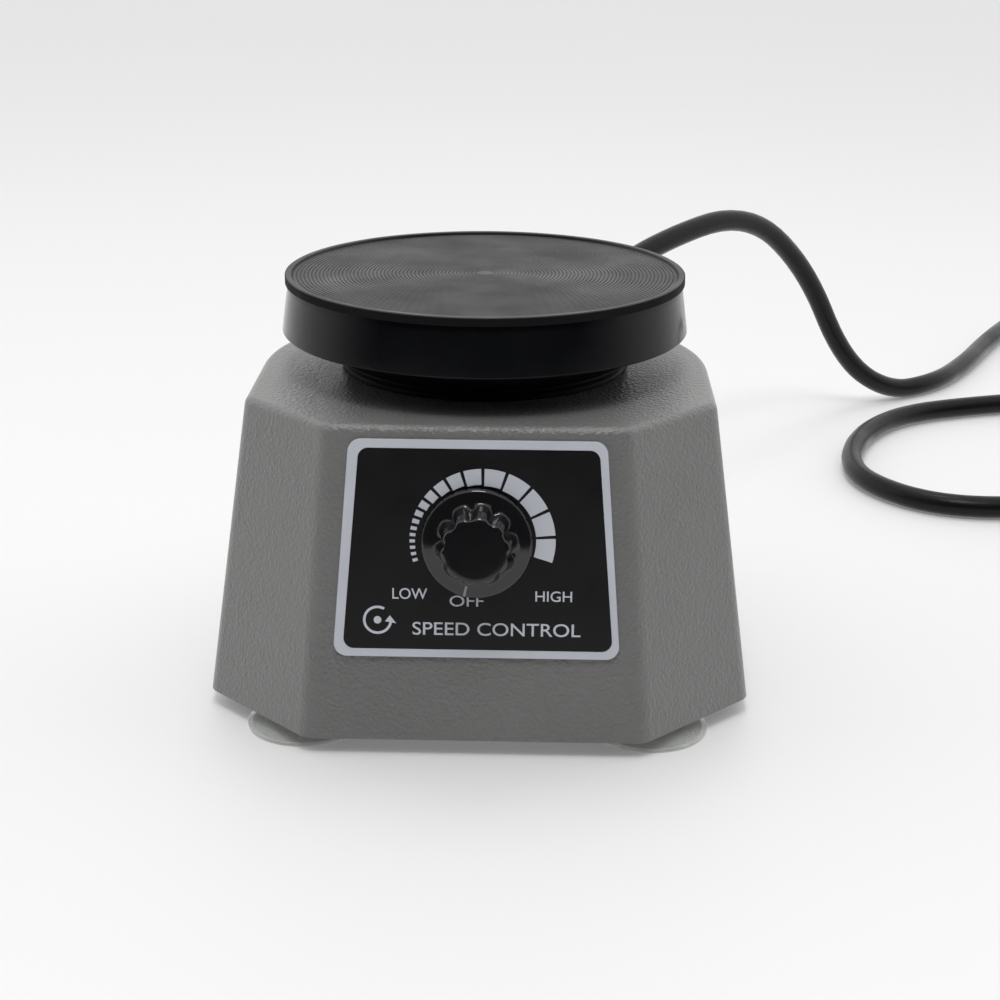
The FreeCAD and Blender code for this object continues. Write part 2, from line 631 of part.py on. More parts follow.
def make_motor():
    low = "plate_low + plate_thick"
    top = "bracket_low + bracket_thick"
    half = "bracket_half"
    screw_hole = "motor_screw_round + play"
    under = "bracket_low - 1"
    deep = "bracket_thick + 2"
    bracket = plate("motor_bracket", rectangle(f"-{half}", f"-{half}", half, half), "bracket_low",
                    "bracket_thick")
    round_edges(bracket, "bracket_corner", is_upright)
    hole = new_sketch(bracket, level=under)
    draw_circle(hole, "boss_round + 3")
    cut_up(bracket, hole, deep)
    four_holes(bracket, "mount_spot", "mount_spot", screw_hole, under, deep)
    four_holes(bracket, "bell_spot", "bell_spot", "screw_round", under, deep)

    spot = ("mount_spot", "mount_spot")
    grommets = turned("motor_grommets", [
        (screw_hole, low), ("grommet_round", low), ("grommet_round", f"{low} + 2"),
        ("grommet_waist", f"{low} + 2.5"), ("grommet_waist", "bracket_low - 2.5"),
        ("grommet_round", "bracket_low - 2"), ("grommet_round", "bracket_low"),
        (screw_hole, "bracket_low"),
    ], spot)
    mirror_four(grommets, grommets.Tip)
    four_screws("motor_screws", spot, top, "plate_low", "motor_head_round", "motor_screw_round", -1)
    four_screws("bell_screws", ("bell_spot", "bell_spot"), "bracket_low", f"{top} + bell_thick",
                "head_round", "screw_round - play", 1)

    seat = "bearing_round + 0.02"
    seat_low = "bracket_low - 0.5"
    seat_high = "can_top - 0.5"
    lower = turned("motor_lower_bell", [
        (seat, seat_low), ("boss_round", seat_low), ("boss_round", top), ("can_round", top),
        ("can_round", f"{top} + bell_thick"), ("boss_round", f"{top} + bell_thick"),
        ("boss_round", f"{seat_low} + bearing_long"), (seat, f"{seat_low} + bearing_long"),
    ])
    four_holes(lower, "bell_spot", "bell_spot", "screw_round", f"{top} - 1", "bell_thick + 2")
    disc("motor_can", "can_round", f"{top} + bell_thick", "can_top", "can_round - can_wall")
    turned("motor_upper_bell", [
        (seat, seat_high), ("boss_round", seat_high), ("boss_round", "can_top"),
        ("can_round", "can_top"), ("can_round", "can_top + bell_thick"),
        ("boss_round", "can_top + bell_thick"), ("boss_round", f"{seat_high} + bearing_long"),
        (seat, f"{seat_high} + bearing_long"),
    ])
    bearings = disc("motor_bearings", "bearing_round", seat_low, f"{seat_low} + bearing_long",
                    "shaft_round + run_gap")
    repeat_up(bearings, bearings.Tip, "can_top - bracket_low")

    core = disc("stator_core", "can_round - can_wall - 0.1", "stator_low", "stator_top", "stator_bore")
    slot = new_sketch(core, level="stator_low - 1")
    draw_outline(slot, rectangle("stator_bore - 1", "-slot_half", "stator_bore + slot_deep", "slot_half"))
    polar(core, [cut_up(core, slot, "stator_top - stator_low + 2")], "slots")
    start = "stator_low - winding_tall"
    windings = turned("stator_windings", [
        ("winding_inner", start), ("winding_outer - 1", start), ("winding_outer", f"{start} + 1"),
        ("winding_outer", "stator_low - 1"), ("winding_outer - 1", "stator_low"),
        ("winding_inner", "stator_low"),
    ])
    repeat_up(windings, windings.Tip, f"stator_top - ({start})")


def make_rotor():
    grip = "shaft_round + 0.02"
    disc("motor_shaft", "shaft_round", "shaft_low", "shaft_top")
    turned("rotor_core", [
        (grip, "stator_low - ring_thick"), ("ring_round", "stator_low - ring_thick"),
        ("ring_round", "stator_low"), ("rotor_round", "stator_low"), ("rotor_round", "stator_top"),
        ("ring_round", "stator_top"), ("ring_round", "stator_top + ring_thick"),
        (grip, "stator_top + ring_thick"),
    ])
    disc_top = "fan_level + fan_disc"
    fan_top = "fan_level + fan_tall"
    fan = turned("cooling_fan", [
        (grip, "fan_level"), ("fan_round", "fan_level"), ("fan_round", disc_top),
        ("fan_boss_round", disc_top), ("fan_boss_round", fan_top), (grip, fan_top),
    ])
    blade = new_sketch(fan, level=disc_top)
    draw_outline(blade, rectangle("fan_boss_round - 0.5", "-blade_thick / 2", "fan_round - 0.5",
                                  "blade_thick / 2"))
    polar(fan, [pad(fan, blade, "fan_tall - fan_disc")], "blades")

    socket_end = "shaft_top + 0.3"
    hub = turned("eccentric_hub", [
        (grip, "hub_low"), ("hub_round", "hub_low"), ("hub_round", "hub_top"), ("0", "hub_top"),
        ("0", socket_end), (grip, socket_end),
    ])
    steps = (("shoulder_round", "hub_top", "race_low"), ("pin_round", "race_low", "pin_top"))
    for radius, low, high in steps:
        sketch = new_sketch(hub, level=low)
        draw_circle(sketch, radius, "0", "-eccentricity")
        pad(hub, sketch, f"{high} - {low}")
    doc.recompute()
    level = size("set_screw_level")
    outwards = Rotation(Vector(0, 1, 0), 90)
    inside_shaft = Vector(size("shaft_round") / 2, 0, level)
    bore(hub, "screw_round", "hub_round", Placement(inside_shaft, outwards))
    screw = disc("hub_set_screw", "screw_round - play", "shaft_round + play", "hub_round - 0.5")
    screw.Placement = Placement(Vector(0, 0, level), outwards)

    weight = new_body("counterweight")
    top = "weight_low + weight_tall"
    for radius, angle in (("weight_ring", 360), ("weight_round", size("weight_angle"))):
        sketch = new_sketch(weight, "XZ_Plane")
        draw_outline(sketch, rectangle("hub_round + 0.02", "weight_low", radius, top))
        sector = weight.newObject("PartDesign::Revolution", "weight_turn")
        sector.Profile = sketch
        sector.ReferenceAxis = (sketch, ["V_Axis"])
        sector.Angle = angle
        sector.Midplane = angle < 360
        weight.Tip = sector
    doc.recompute()
    middle = size("weight_low") + size("weight_tall") / 2
    inside_hub = Vector(size("hub_round") / 2, 0, middle)
    bore(weight, "screw_round", "weight_round", Placement(inside_hub, outwards))
    back = Rotation(Vector(0, 0, 1), 90)
    weight.Placement = Placement(Vector(), back)
    screw = disc("weight_set_screw", "screw_round - play", "hub_round + 0.1", "weight_round - 3")
    screw.Placement = Placement(Vector(0, 0, middle), back * outwards)


def offset_to_pin(body):
    """Move a body from the motor's axis to the eccentric pin's."""
    body.setExpression("Placement.Base.y", bound("-eccentricity"))


def make_eccentric_bearing():
    top = "race_low + race_wide"
    middle = Placement(Vector(0, 0, size("race_low") + size("race_wide") / 2), Rotation())
    inner = disc("bearing_inner_race", "inner_land", "race_low", top, "race_bore")
    outer = disc("bearing_outer_race", "race_outer", "race_low", top, "outer_land")
    for race in (inner, outer):
        doc.recompute()
        before = race.Shape.Volume
        track = new_sketch(race, "XZ_Plane")
        draw_circle(track, "ball_groove", "ball_pitch", "race_low + race_wide / 2")
        groove = race.newObject("PartDesign::Groove", race.Name + "_groove")
        groove.Profile = track
        groove.ReferenceAxis = (track, ["V_Axis"])
        groove.Angle = 360
        race.Tip = groove
        doc.recompute()
        if race.Shape.Volume > before - 1:
            raise RuntimeError(f"{groove.Label} cuts nothing")
    balls = new_body("bearing_balls")
    ball = balls.newObject("PartDesign::AdditiveSphere", "ball")
    ball.AttachmentSupport = [(base_element(balls, "XY_Plane"), "")]
    ball.MapMode = "FlatFace"
    ball.AttachmentOffset = middle * Placement(Vector(size("ball_pitch"), 0, 0), Rotation())
    ball.setExpression("Radius", bound("ball_round"))
    polar(balls, [ball], "balls")
    circlip = disc("pin_circlip", "circlip_round", f"{top} + play", f"{top} + circlip_thick",
                   "pin_round + 0.02")
    for body in (inner, outer, balls, circlip):
        offset_to_pin(body)


def make_platform():
    seat = "race_outer + 0.02"
    rim = "race_outer - 1.5"
    top = "race_low + race_wide"
    low = "race_low - 0.3"
    flange = "disc_low - flange_thick"
    roof = "disc_low - roof_thick"
    spot = "platform_screw_pitch / sqrt(2)"
    boss = turned("bearing_housing", [
        (seat, low), ("head_boss_round", low), ("head_boss_round", flange),
        ("head_flange_round", flange), ("head_flange_round", "disc_low"), ("0", "disc_low"),
        ("0", roof), (rim, roof), (rim, top), (seat, top),
    ])
    four_holes(boss, spot, spot, "screw_round", "disc_low - 4", "5")
    shell = turned("platform_shell", [
        ("0", "disc_low"), ("skirt_inner", "disc_low"), ("skirt_inner", "platform_low + 0.5"),
        ("skirt_inner + 0.5", "platform_low"), ("lip_round - 0.4", "platform_low"),
        ("lip_round", "platform_low + 0.5"), ("platform_round - 0.4", "disc_top - 0.8"),
        ("platform_round - 0.9", "disc_top - 0.1"), ("platform_round - 1.1", "disc_top"),
        ("0", "disc_top"),
    ])
    four_holes(shell, spot, spot, "screw_round", "disc_low - 1", "3.2")
    field = "mat_top - bead_tall"
    mat = turned("rubber_mat", [
        ("0", "disc_top"), ("platform_round - 0.9", "disc_top"),
        ("platform_round - 0.5", "disc_top + 0.5"), ("platform_round", "disc_top + 0.9"),
        ("platform_round", "mat_top - 0.5"), ("platform_round - 0.5", "mat_top"),
        ("mat_field + bead_tall", "mat_top"), ("mat_field", field), ("0", field),
    ])
    screws = four_screws("platform_screws", (spot, spot), flange, "disc_low + 1.9", "head_round",
                         "screw_round - play", 1)
    for body in (boss, shell, mat, screws):
        offset_to_pin(body)


def make_boot():
    """A bowl of thick rubber that opens upwards inside the skirt, with a clamp ring on its foot."""
    seat = "top_level"
    knee = f"{seat} + knee_rise"
    belly = f"{seat} + belly_rise"
    inner = "boot_foot_round - 2.8"
    boot = turned("dust_boot", [
        ("boot_seat", seat), ("boot_foot_round", seat), ("boot_foot_round", f"{seat} + 1.2"),
        ("boot_foot_round - 1.2", f"{seat} + 1.9"), ("boot_foot_round - 1.2", f"{knee} - 0.7"),
        ("knee_round", knee), ("knee_round + 4.3", f"{knee} + 3.2"),
        ("belly_round - 0.6", f"{belly} - 2.7"), ("belly_round", belly), ("belly_round - 0.6", "boot_top"),
        ("belly_round - 0.6 - boot_sheet", "boot_top"), ("belly_round - boot_sheet", belly),
        ("belly_round - 0.4 - boot_sheet", f"{belly} - 2"), ("knee_round + 3.2", f"{knee} + 4.5"),
        ("knee_round - 0.6", f"{knee} + 1.7"), (inner, f"{knee} - 0.2"), (inner, f"{seat} + boot_sheet"),
        ("boot_seat", f"{seat} + boot_sheet"),
    ])
    spot = "clamp_pitch / sqrt(2)"
    hole = "screw_round + play"
    under = f"{seat} - 1"
    ring_low = f"{seat} + boot_sheet"
    ring_top = f"{ring_low} + clamp_thick"
    four_holes(boot, spot, spot, hole, under, "boot_sheet + 2")
    ring = disc("boot_clamp_ring", "clamp_outer", ring_low, ring_top, "clamp_inner")
    four_holes(ring, spot, spot, hole, under, "boot_sheet + clamp_thick + 2")
    four_screws("boot_screws", (spot, spot), ring_top, f"{seat} - wall", "boot_head_round",
                "screw_round - play", -1)


def board_spots():
    """The board's fixing holes."""
    sides = ("", "-")
    levels = ("board_front + board_hole_in", "board_back - board_hole_in")
    return [(f"{side}(board_half - board_hole_in)", y) for side in sides for y in levels]


def block_at(label, left, front, wide, deep, low, tall):
    """An upright box from its left front corner."""
    corners = rectangle(left, front, f"{left} + {wide}", f"{front} + {deep}")
    return plate(label, corners, low, tall)


def rods(label, spots, radius, low, thick, hollow=None):
    """Parallel rods or tubes, one at each spot."""
    body = new_body(label)
    sketch = new_sketch(body, level=low)
    for x, y in spots:
        draw_circle(sketch, radius, x, y)
        if hollow is not None:
            draw_circle(sketch, hollow, x, y)
    pad(body, sketch, thick)
    return body


def make_electronics():
    floor = "plate_low + plate_thick"
    top = "board_low + board_thick"
    board = plate("circuit_board", rectangle("-board_half", "board_front", "board_half", "board_back"),
                  "board_low", "board_thick")
    holes = new_sketch(board, level="board_low - 1")
    for x, y in board_spots():
        draw_circle(holes, "board_hole", x, y)
    cut_up(board, holes, "board_thick + 2")
    rods("board_standoffs", board_spots(), "standoff_round", floor, f"board_low - ({floor})",
         "board_hole")
    screws = rods("board_screws", board_spots(), "board_hole - play", "board_low - 4", "board_thick + 4")
    heads = new_sketch(screws, level=top)
    for x, y in board_spots():
        draw_circle(heads, "board_head_round", x, y)
    pad(screws, heads, "board_head_tall")

    triac = block_at("triac", "triac_left", "triac_front", "triac_wide", "triac_thick",
                     f"{top} + leg_long", "triac_tall")
    legs = new_sketch(triac, level=top)
    for i in (-1, 0, 1):
        left = f"triac_left + triac_wide / 2 + {i} * leg_pitch - leg_half"
        front = "triac_front + triac_thick / 2 - leg_half"
        draw_outline(legs, rectangle(left, front, f"{left} + leg_half * 2", f"{front} + leg_half * 2"))
    pad(triac, legs, "leg_long + 0.5")
    back = "sink_front + sink_deep"
    web = "sink_front + sink_web"
    right = "sink_left + sink_wide"
    comb = [("sink_left", "sink_front"), (right, "sink_front")]
    for i in range(4):
        edge = f"{right} - {i} * fin_pitch"
        comb += [(edge, web)] if i else []
        comb += [(edge, back), (f"{edge} - fin_wide", back), (f"{edge} - fin_wide", web)]
    comb.append(("sink_left", web))
    plate("heatsink", comb, top, "sink_tall")
    capacitor = block_at("film_capacitor", "capacitor_left", "capacitor_front", "capacitor_wide",
                         "capacitor_deep", top, "capacitor_tall")
    round_edges(capacitor, "head_edge", is_upright)
    choke = new_body("choke_coil")
    ring = choke.newObject("PartDesign::AdditiveTorus", "choke_ring")
    ring.AttachmentSupport = [(base_element(choke, "XY_Plane"), "")]
    ring.MapMode = "FlatFace"
    for axis, text in (("x", "choke_x"), ("y", "choke_y"), ("z", f"{top} + choke_wire")):
        ring.setExpression(f"AttachmentOffset.Base.{axis}", bound(text))
    ring.setExpression("Radius1", bound("choke_ring"))
    ring.setExpression("Radius2", bound("choke_wire"))

    block = block_at("terminal_block", "-block_half", "block_front", "block_half * 2", "block_deep",
                     floor, "block_tall")
    wells = new_sketch(block, level=f"{floor} + block_tall - well_deep")
    for x in ("-well_first - well_pitch", "-well_first", "well_first", "well_first + well_pitch"):
        draw_circle(wells, "well_round", x, "block_front + block_deep / 2")
    cut_up(block, wells, "well_deep + 1")


def tangent_path(route):
    """Straight runs joined by tangent arcs, each as large as its two runs allow."""
    points = [Vector(*corner) for corner in route]
    edges = []
    start = points[0]
    radii = []
    for i in range(1, len(points) - 1):
        before = points[i - 1] - points[i]
        after = points[i + 1] - points[i]
        half_turn = (math.pi - before.getAngle(after)) / 2
        reach = 0.45 * min(before.Length, after.Length)
        radii.append(reach / math.tan(half_turn))
        towards = before.normalize()
        away = after.normalize()
        enter = points[i] + towards * reach
        leave = points[i] + away * reach
        inwards = (towards + away).normalize()
        centre = points[i] + inwards * (radii[-1] / math.cos(half_turn))
        edges.append(Part.LineSegment(start, enter).toShape())
        edges.append(Part.Arc(enter, centre - inwards * radii[-1], leave).toShape())
        start = leave
    edges.append(Part.LineSegment(start, points[-1]).toShape())
    return Part.Wire(edges), radii


def tube(route, radius):
    path, radii = tangent_path(route)
    start = Vector(*route[0])
    profile = Part.Wire([Part.Circle(start, Vector(*route[1]) - start, radius).toShape()])
    solid = path.makePipeShell([profile], True, False)
    ratio = solid.Volume / (math.pi * radius ** 2 * path.Length)
    print(f"tube length {path.Length:.1f}, volume ratio {ratio:.4f}, least radius {min(radii):.1f}")
    print("radii", [round(r) for r in radii])
    return solid


def add_shape(label, shape):
    feature = doc.addObject("Part::Feature", label)
    feature.Label = label
    feature.Shape = shape
    return feature


def make_lead():
    gland = new_body("cord_gland")
    collar = new_sketch(gland, level="0")
    draw_outline(collar, hexagon("gland_flats"))
    pad(gland, collar, "gland_hex")
    shank = new_sketch(gland, level="-wall - gland_inside")
    draw_circle(shank, "gland_thread")
    pad(gland, shank, "wall + gland_inside")
    doc.recompute()
    bore(gland, "lead_round + 0.1", "40", Placement(Vector(0, 0, -20), Rotation()))
    dome = turned("gland_dome", [
        ("sleeve_root", "gland_hex"), ("dome_round", "gland_hex"), ("dome_round", "gland_hex + 4"),
        ("dome_round - 0.6", "gland_dome - 1.6"), ("dome_round - 1.7", "gland_dome - 0.3"),
        ("dome_round - 2.2", "gland_dome"), ("sleeve_root", "gland_dome"),
    ])
    locknut = new_body("gland_locknut")
    sketch = new_sketch(locknut, level="-wall - locknut_thick")
    draw_outline(sketch, hexagon("gland_flats"))
    draw_circle(sketch, "gland_thread + play")
    pad(locknut, sketch, "locknut_thick")
    bend = "lead_round + 0.05"
    bend_end = "sleeve_top - sleeve_deep"
    sleeve = turned("strain_relief", [
        ("0", "gland_hex"), ("sleeve_root - 0.05", "gland_hex"), ("sleeve_root - 0.05", "gland_dome"),
        ("sleeve_root + 0.8", "gland_dome"), ("sleeve_root + 0.5", "gland_dome + 4"),
        ("sleeve_tip_round", "sleeve_top"), (bend, "sleeve_top"), (bend, bend_end), ("0", bend_end),
    ])
    upright = Placement(Vector(), Rotation(Vector(0, 0, 1), 30))
    for body in (gland, dome, locknut, sleeve):
        body.Placement = back_frame() * upright

    add_shape("mains_cord", tube(LEAD_ROUTE, size("lead_round")))
    coil = disc("cord_coil", "coil_mid_round + coil_band", "0", "4 * lead_round",
                "coil_mid_round - coil_band")
    round_edges(coil, "coil_edge", is_rim)
    coil.setExpression("Placement.Base.x", bound("coil_x"))
    coil.setExpression("Placement.Base.y", bound("coil_y"))
    tail = doc.addObject("Part::Cylinder", "cord_tail")
    tail.setExpression("Radius", bound("lead_round"))
    tail.setExpression("Height", bound("tail_long"))
    tail.Placement = tail_frame(0)


def is_rim(edge):
    """Picks full circles."""
    return len(edge.Vertexes) == 1


def tail_frame(along):
    """A placement on the lead's last straight run, whose local Z is towards the plug's pins."""
    x = size("coil_x") + size("coil_mid_round")
    spot = Vector(x, size("tail_start") - along, size("tail_level"))
    return Placement(spot, Rotation(Vector(1, 0, 0), 90))


def blade_sketch(body, play):
    """The outlines of the plug's two flat blades."""
    sketch = new_sketch(body, level="plug_long - blade_inside")
    for side in ("-blade_spot", "blade_spot"):
        draw_outline(sketch, rectangle(
            f"{side} - blade_half_thick - {play}", f"-blade_half_wide - {play}",
            f"{side} + blade_half_thick + {play}", f"blade_half_wide + {play}"))
    return sketch


def make_plug():
    """The plug lies on the bench beside the coil, its blades towards the front."""
    body = new_body("plug_body")
    shoulder = "neck_long + shoulder_long"
    outline = []
    for level, wide, tall in (
        ("neck_long", "neck_half_wide", "neck_half_tall"),
        (shoulder, "shoulder_half_wide", "plug_half_tall"),
        ("plug_long", "plug_half_wide", "plug_half_tall"),
    ):
        sketch = new_sketch(body, level=level)
        draw_outline(sketch, rectangle(f"-{wide}", f"-{tall}", wide, tall))
        outline.append(sketch)
    loft = body.newObject("PartDesign::AdditiveLoft", "plug_loft")
    loft.Profile = outline[0]
    loft.Sections = outline[1:]
    loft.Ruled = True
    body.Tip = loft
    neck = new_sketch(body, level="0")
    draw_circle(neck, "neck_round")
    pad(body, neck, "neck_long + 2")
    doc.recompute()
    low = size("neck_long") + size("shoulder_long")
    high = size("plug_long")
    round_edges(body, "plug_edge", lambda edge: spans(edge, low, high))
    cut_up(body, blade_sketch(body, "play"), "blade_inside + 2")
    pins = new_body("plug_pins")
    pad(pins, blade_sketch(pins, "0"), "blade_inside + blade_long")
    for piece in (body, pins):
        piece.Placement = tail_frame(size("tail_long"))


def spans(edge, low, high):
    """Picks the edges that run from one level to the other."""
    box = edge.BoundBox
    return abs(box.ZMin - low) < 0.01 and abs(box.ZMax - high) < 0.01


def make_wires():
    wires = [tube(route, size("wire_round")) for route in WIRE_ROUTES]
    add_shape("internal_wires", Part.makeCompound(wires))


def node_objects():
    kinds = ("PartDesign::Body", "Part::Feature", "Part::Cylinder")
    return [item for item in doc.Objects if item.TypeId in kinds and not item.getParentGeoFeatureGroup()]


def write_parts():
    doc.recompute()
    for item in doc.Objects:
        if "Invalid" in item.State or "Error" in item.State:
            raise RuntimeError(f"{item.Label} failed: {item.State}")
    os.makedirs("parts", exist_ok=True)
    for item in node_objects():
        shape = item.Shape
        if shape.isNull() or not shape.isValid() or not shape.Solids:
            raise RuntimeError(f"{item.Label} has no valid solid")
        shape.exportStep(f"parts/{item.Label}.step")
        print(f"{item.Label:20s} {len(shape.Solids):2d} solids {shape.Volume:10.1f} mm3")


fill_sheet()
make_housing()
make_base()
make_control_panel()
make_speed_control()
make_knob()
make_motor()
make_rotor()
make_eccentric_bearing()
make_platform()
make_boot()
make_electronics()
make_wires()
make_lead()
make_plug()
write_parts()
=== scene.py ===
import json
import math

import bmesh
import bpy
from mathutils import Euler, Matrix, Vector


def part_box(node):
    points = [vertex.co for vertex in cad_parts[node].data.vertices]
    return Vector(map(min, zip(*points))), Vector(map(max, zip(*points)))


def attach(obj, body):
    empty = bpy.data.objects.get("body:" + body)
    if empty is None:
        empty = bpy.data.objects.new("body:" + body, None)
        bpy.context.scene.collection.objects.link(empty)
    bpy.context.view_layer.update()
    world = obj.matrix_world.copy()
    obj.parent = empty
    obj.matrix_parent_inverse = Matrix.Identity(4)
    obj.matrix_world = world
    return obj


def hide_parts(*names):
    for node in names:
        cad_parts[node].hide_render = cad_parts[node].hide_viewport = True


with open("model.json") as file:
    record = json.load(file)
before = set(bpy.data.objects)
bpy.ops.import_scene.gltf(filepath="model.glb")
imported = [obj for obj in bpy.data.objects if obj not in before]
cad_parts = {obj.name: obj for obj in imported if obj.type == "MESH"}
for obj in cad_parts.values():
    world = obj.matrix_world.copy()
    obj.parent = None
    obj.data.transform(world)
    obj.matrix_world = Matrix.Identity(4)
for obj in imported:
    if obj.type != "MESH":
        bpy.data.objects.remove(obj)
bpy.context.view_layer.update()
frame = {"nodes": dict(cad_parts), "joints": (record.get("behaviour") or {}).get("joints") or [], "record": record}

# A small bench-top vortex mixer, in metres. -Y is the front, +Z is up, and the floor is z = 0.

CIRCLE = math.tau
SMOOTH_BELOW = math.radians(38)

SLOT_OF = {part["node"]: part["material_slot"] for part in frame["record"]["subparts"]}
JOINTS = {joint["name"]: joint for joint in frame["joints"]}


# ---------------------------------------------------------------- materials

def node(material, kind, **inputs):
    """Add a shader node. Keywords set its inputs, spaces as underscores."""
    made = material.node_tree.nodes.new(kind)
    for name, value in inputs.items():
        made.inputs[name.replace("_", " ")].default_value = value
    return made


def join(material, source, output, target, socket):
    """Link one node's output to another's input."""
    material.node_tree.links.new(source.outputs[output], target.inputs[socket])


def shader_of(material):
    return material.node_tree.nodes["Principled BSDF"]


def new_material(name, roughness, **sockets):
    """A material with fixed values on its shader's sockets."""
    material = bpy.data.materials.new(name)
    material.use_nodes = True
    shader = shader_of(material)
    shader.inputs["Roughness"].default_value = roughness
    for socket, value in sockets.items():
        shader.inputs[socket.replace("_", " ")].default_value = value
    return material


def noise(material, scale, detail=2.0, rough=0.5, stretch=(1, 1, 1)):
    """Noise whose grain has a real size."""
    place = node(material, "ShaderNodeTexCoord")
    mapping = node(material, "ShaderNodeMapping", Scale=stretch)
    made = node(material, "ShaderNodeTexNoise", Scale=scale, Detail=detail, Roughness=rough)
    join(material, place, "Object", mapping, "Vector")
    join(material, mapping, "Vector", made, "Vector")
    return made


def vary_colour(material, source, colour, spread, output="Fac"):
    """Base colour that wanders round the given one."""
    ramp = node(material, "ShaderNodeValToRGB")
    low, high = ramp.color_ramp.elements
    low.position = 0.3
    high.position = 0.7
    low.color = (*[c * (1 - spread) for c in colour], 1)
    high.color = (*[min(1, c * (1 + spread)) for c in colour], 1)
    join(material, source, output, ramp, "Fac")
    join(material, ramp, "Color", shader_of(material), "Base Color")


def vary_roughness(material, source, roughness, spread):
    """Roughness that wanders round the given one."""
    span = node(material, "ShaderNodeMapRange", From_Min=0.3, From_Max=0.7,
                To_Min=roughness - spread, To_Max=roughness + spread)
    join(material, source, "Fac", span, "Value")
    join(material, span, "Result", shader_of(material), "Roughness")


def bump(material, source, output, height, strength=1.0, below=None):
    """Relief of the given height, on top of another bump when one is given."""
    made = node(material, "ShaderNodeBump", Strength=strength, Distance=height)
    join(material, source, output, made, "Height")
    if below is not None:
        join(material, below, "Normal", made, "Normal")
    join(material, made, "Normal", shader_of(material), "Normal")
    return made


def moulded(name, colour, roughness, spread=0.1, grain=1400, height=0.00001, **sockets):
    """Plastic or rubber: a faint mottle, uneven gloss and a fine moulded grain."""
    material = new_material(name, roughness, **sockets)
    mottle = noise(material, 70, 4)
    vary_colour(material, mottle, colour, spread)
    vary_roughness(material, mottle, roughness, 0.2 * roughness)
    bump(material, noise(material, grain, 3), "Fac", height)
    return material


def metal(name, colour, roughness, stretch=(1, 1, 1), grain=900):
    """Metal with fine tool marks along the unstretched axes."""
    material = new_material(name, roughness, Metallic=1.0)
    marks = noise(material, grain, 3, 0.6, stretch)
    vary_colour(material, marks, colour, 0.12)
    vary_roughness(material, marks, roughness, 0.25 * roughness)
    bump(material, marks, "Fac", 0.00001, 0.6)
    return material


def orange_peel(name, colour, roughness):
    """Sprayed hammer enamel: a pebbled skin, with dimples under a millimetre across over gentle waves."""
    material = new_material(name, roughness)
    cloud = noise(material, 30, 5, 0.6)
    vary_colour(material, cloud, colour, 0.06)
    vary_roughness(material, cloud, roughness, 0.05)
    waves = bump(material, noise(material, 420, 2, 0.4), "Fac", 0.00012)
    bump(material, noise(material, 1150, 2, 0.5), "Fac", 0.0004, below=waves)
    return material


def clear_vinyl(name, colour, roughness=0.22):
    """Soft clear vinyl with a slight haze."""
    material = new_material(name, roughness, Transmission_Weight=0.82, IOR=1.47)
    haze = noise(material, 160, 3)
    vary_colour(material, haze, colour, 0.06)
    vary_roughness(material, haze, roughness, 0.08)
    bump(material, haze, "Fac", 0.00004)
    return material


def wound_wire(name, colour, pitch):
    """Turns of enamelled wire lying side by side. A wave of scale 1 repeats every pi / 10."""
    material = new_material(name, 0.35, Metallic=0.9)
    place = node(material, "ShaderNodeTexCoord")
    turns = node(material, "ShaderNodeTexWave", Scale=math.pi / pitch / 10, Distortion=1.5)
    turns.bands_direction = "Z"
    join(material, place, "Object", turns, "Vector")
    vary_colour(material, turns, colour, 0.3)
    bump(material, turns, "Fac", pitch / 3)
    return material


def printed_board(name, colour):
    """Solder mask with the faint relief of the copper tracks under it."""
    material = new_material(name, 0.35)
    place = node(material, "ShaderNodeTexCoord")
    tracks = node(material, "ShaderNodeTexBrick", Scale=110)
    join(material, place, "Object", tracks, "Vector")
    vary_colour(material, tracks, colour, 0.25)
    bump(material, tracks, "Fac", 0.00004)
    return material


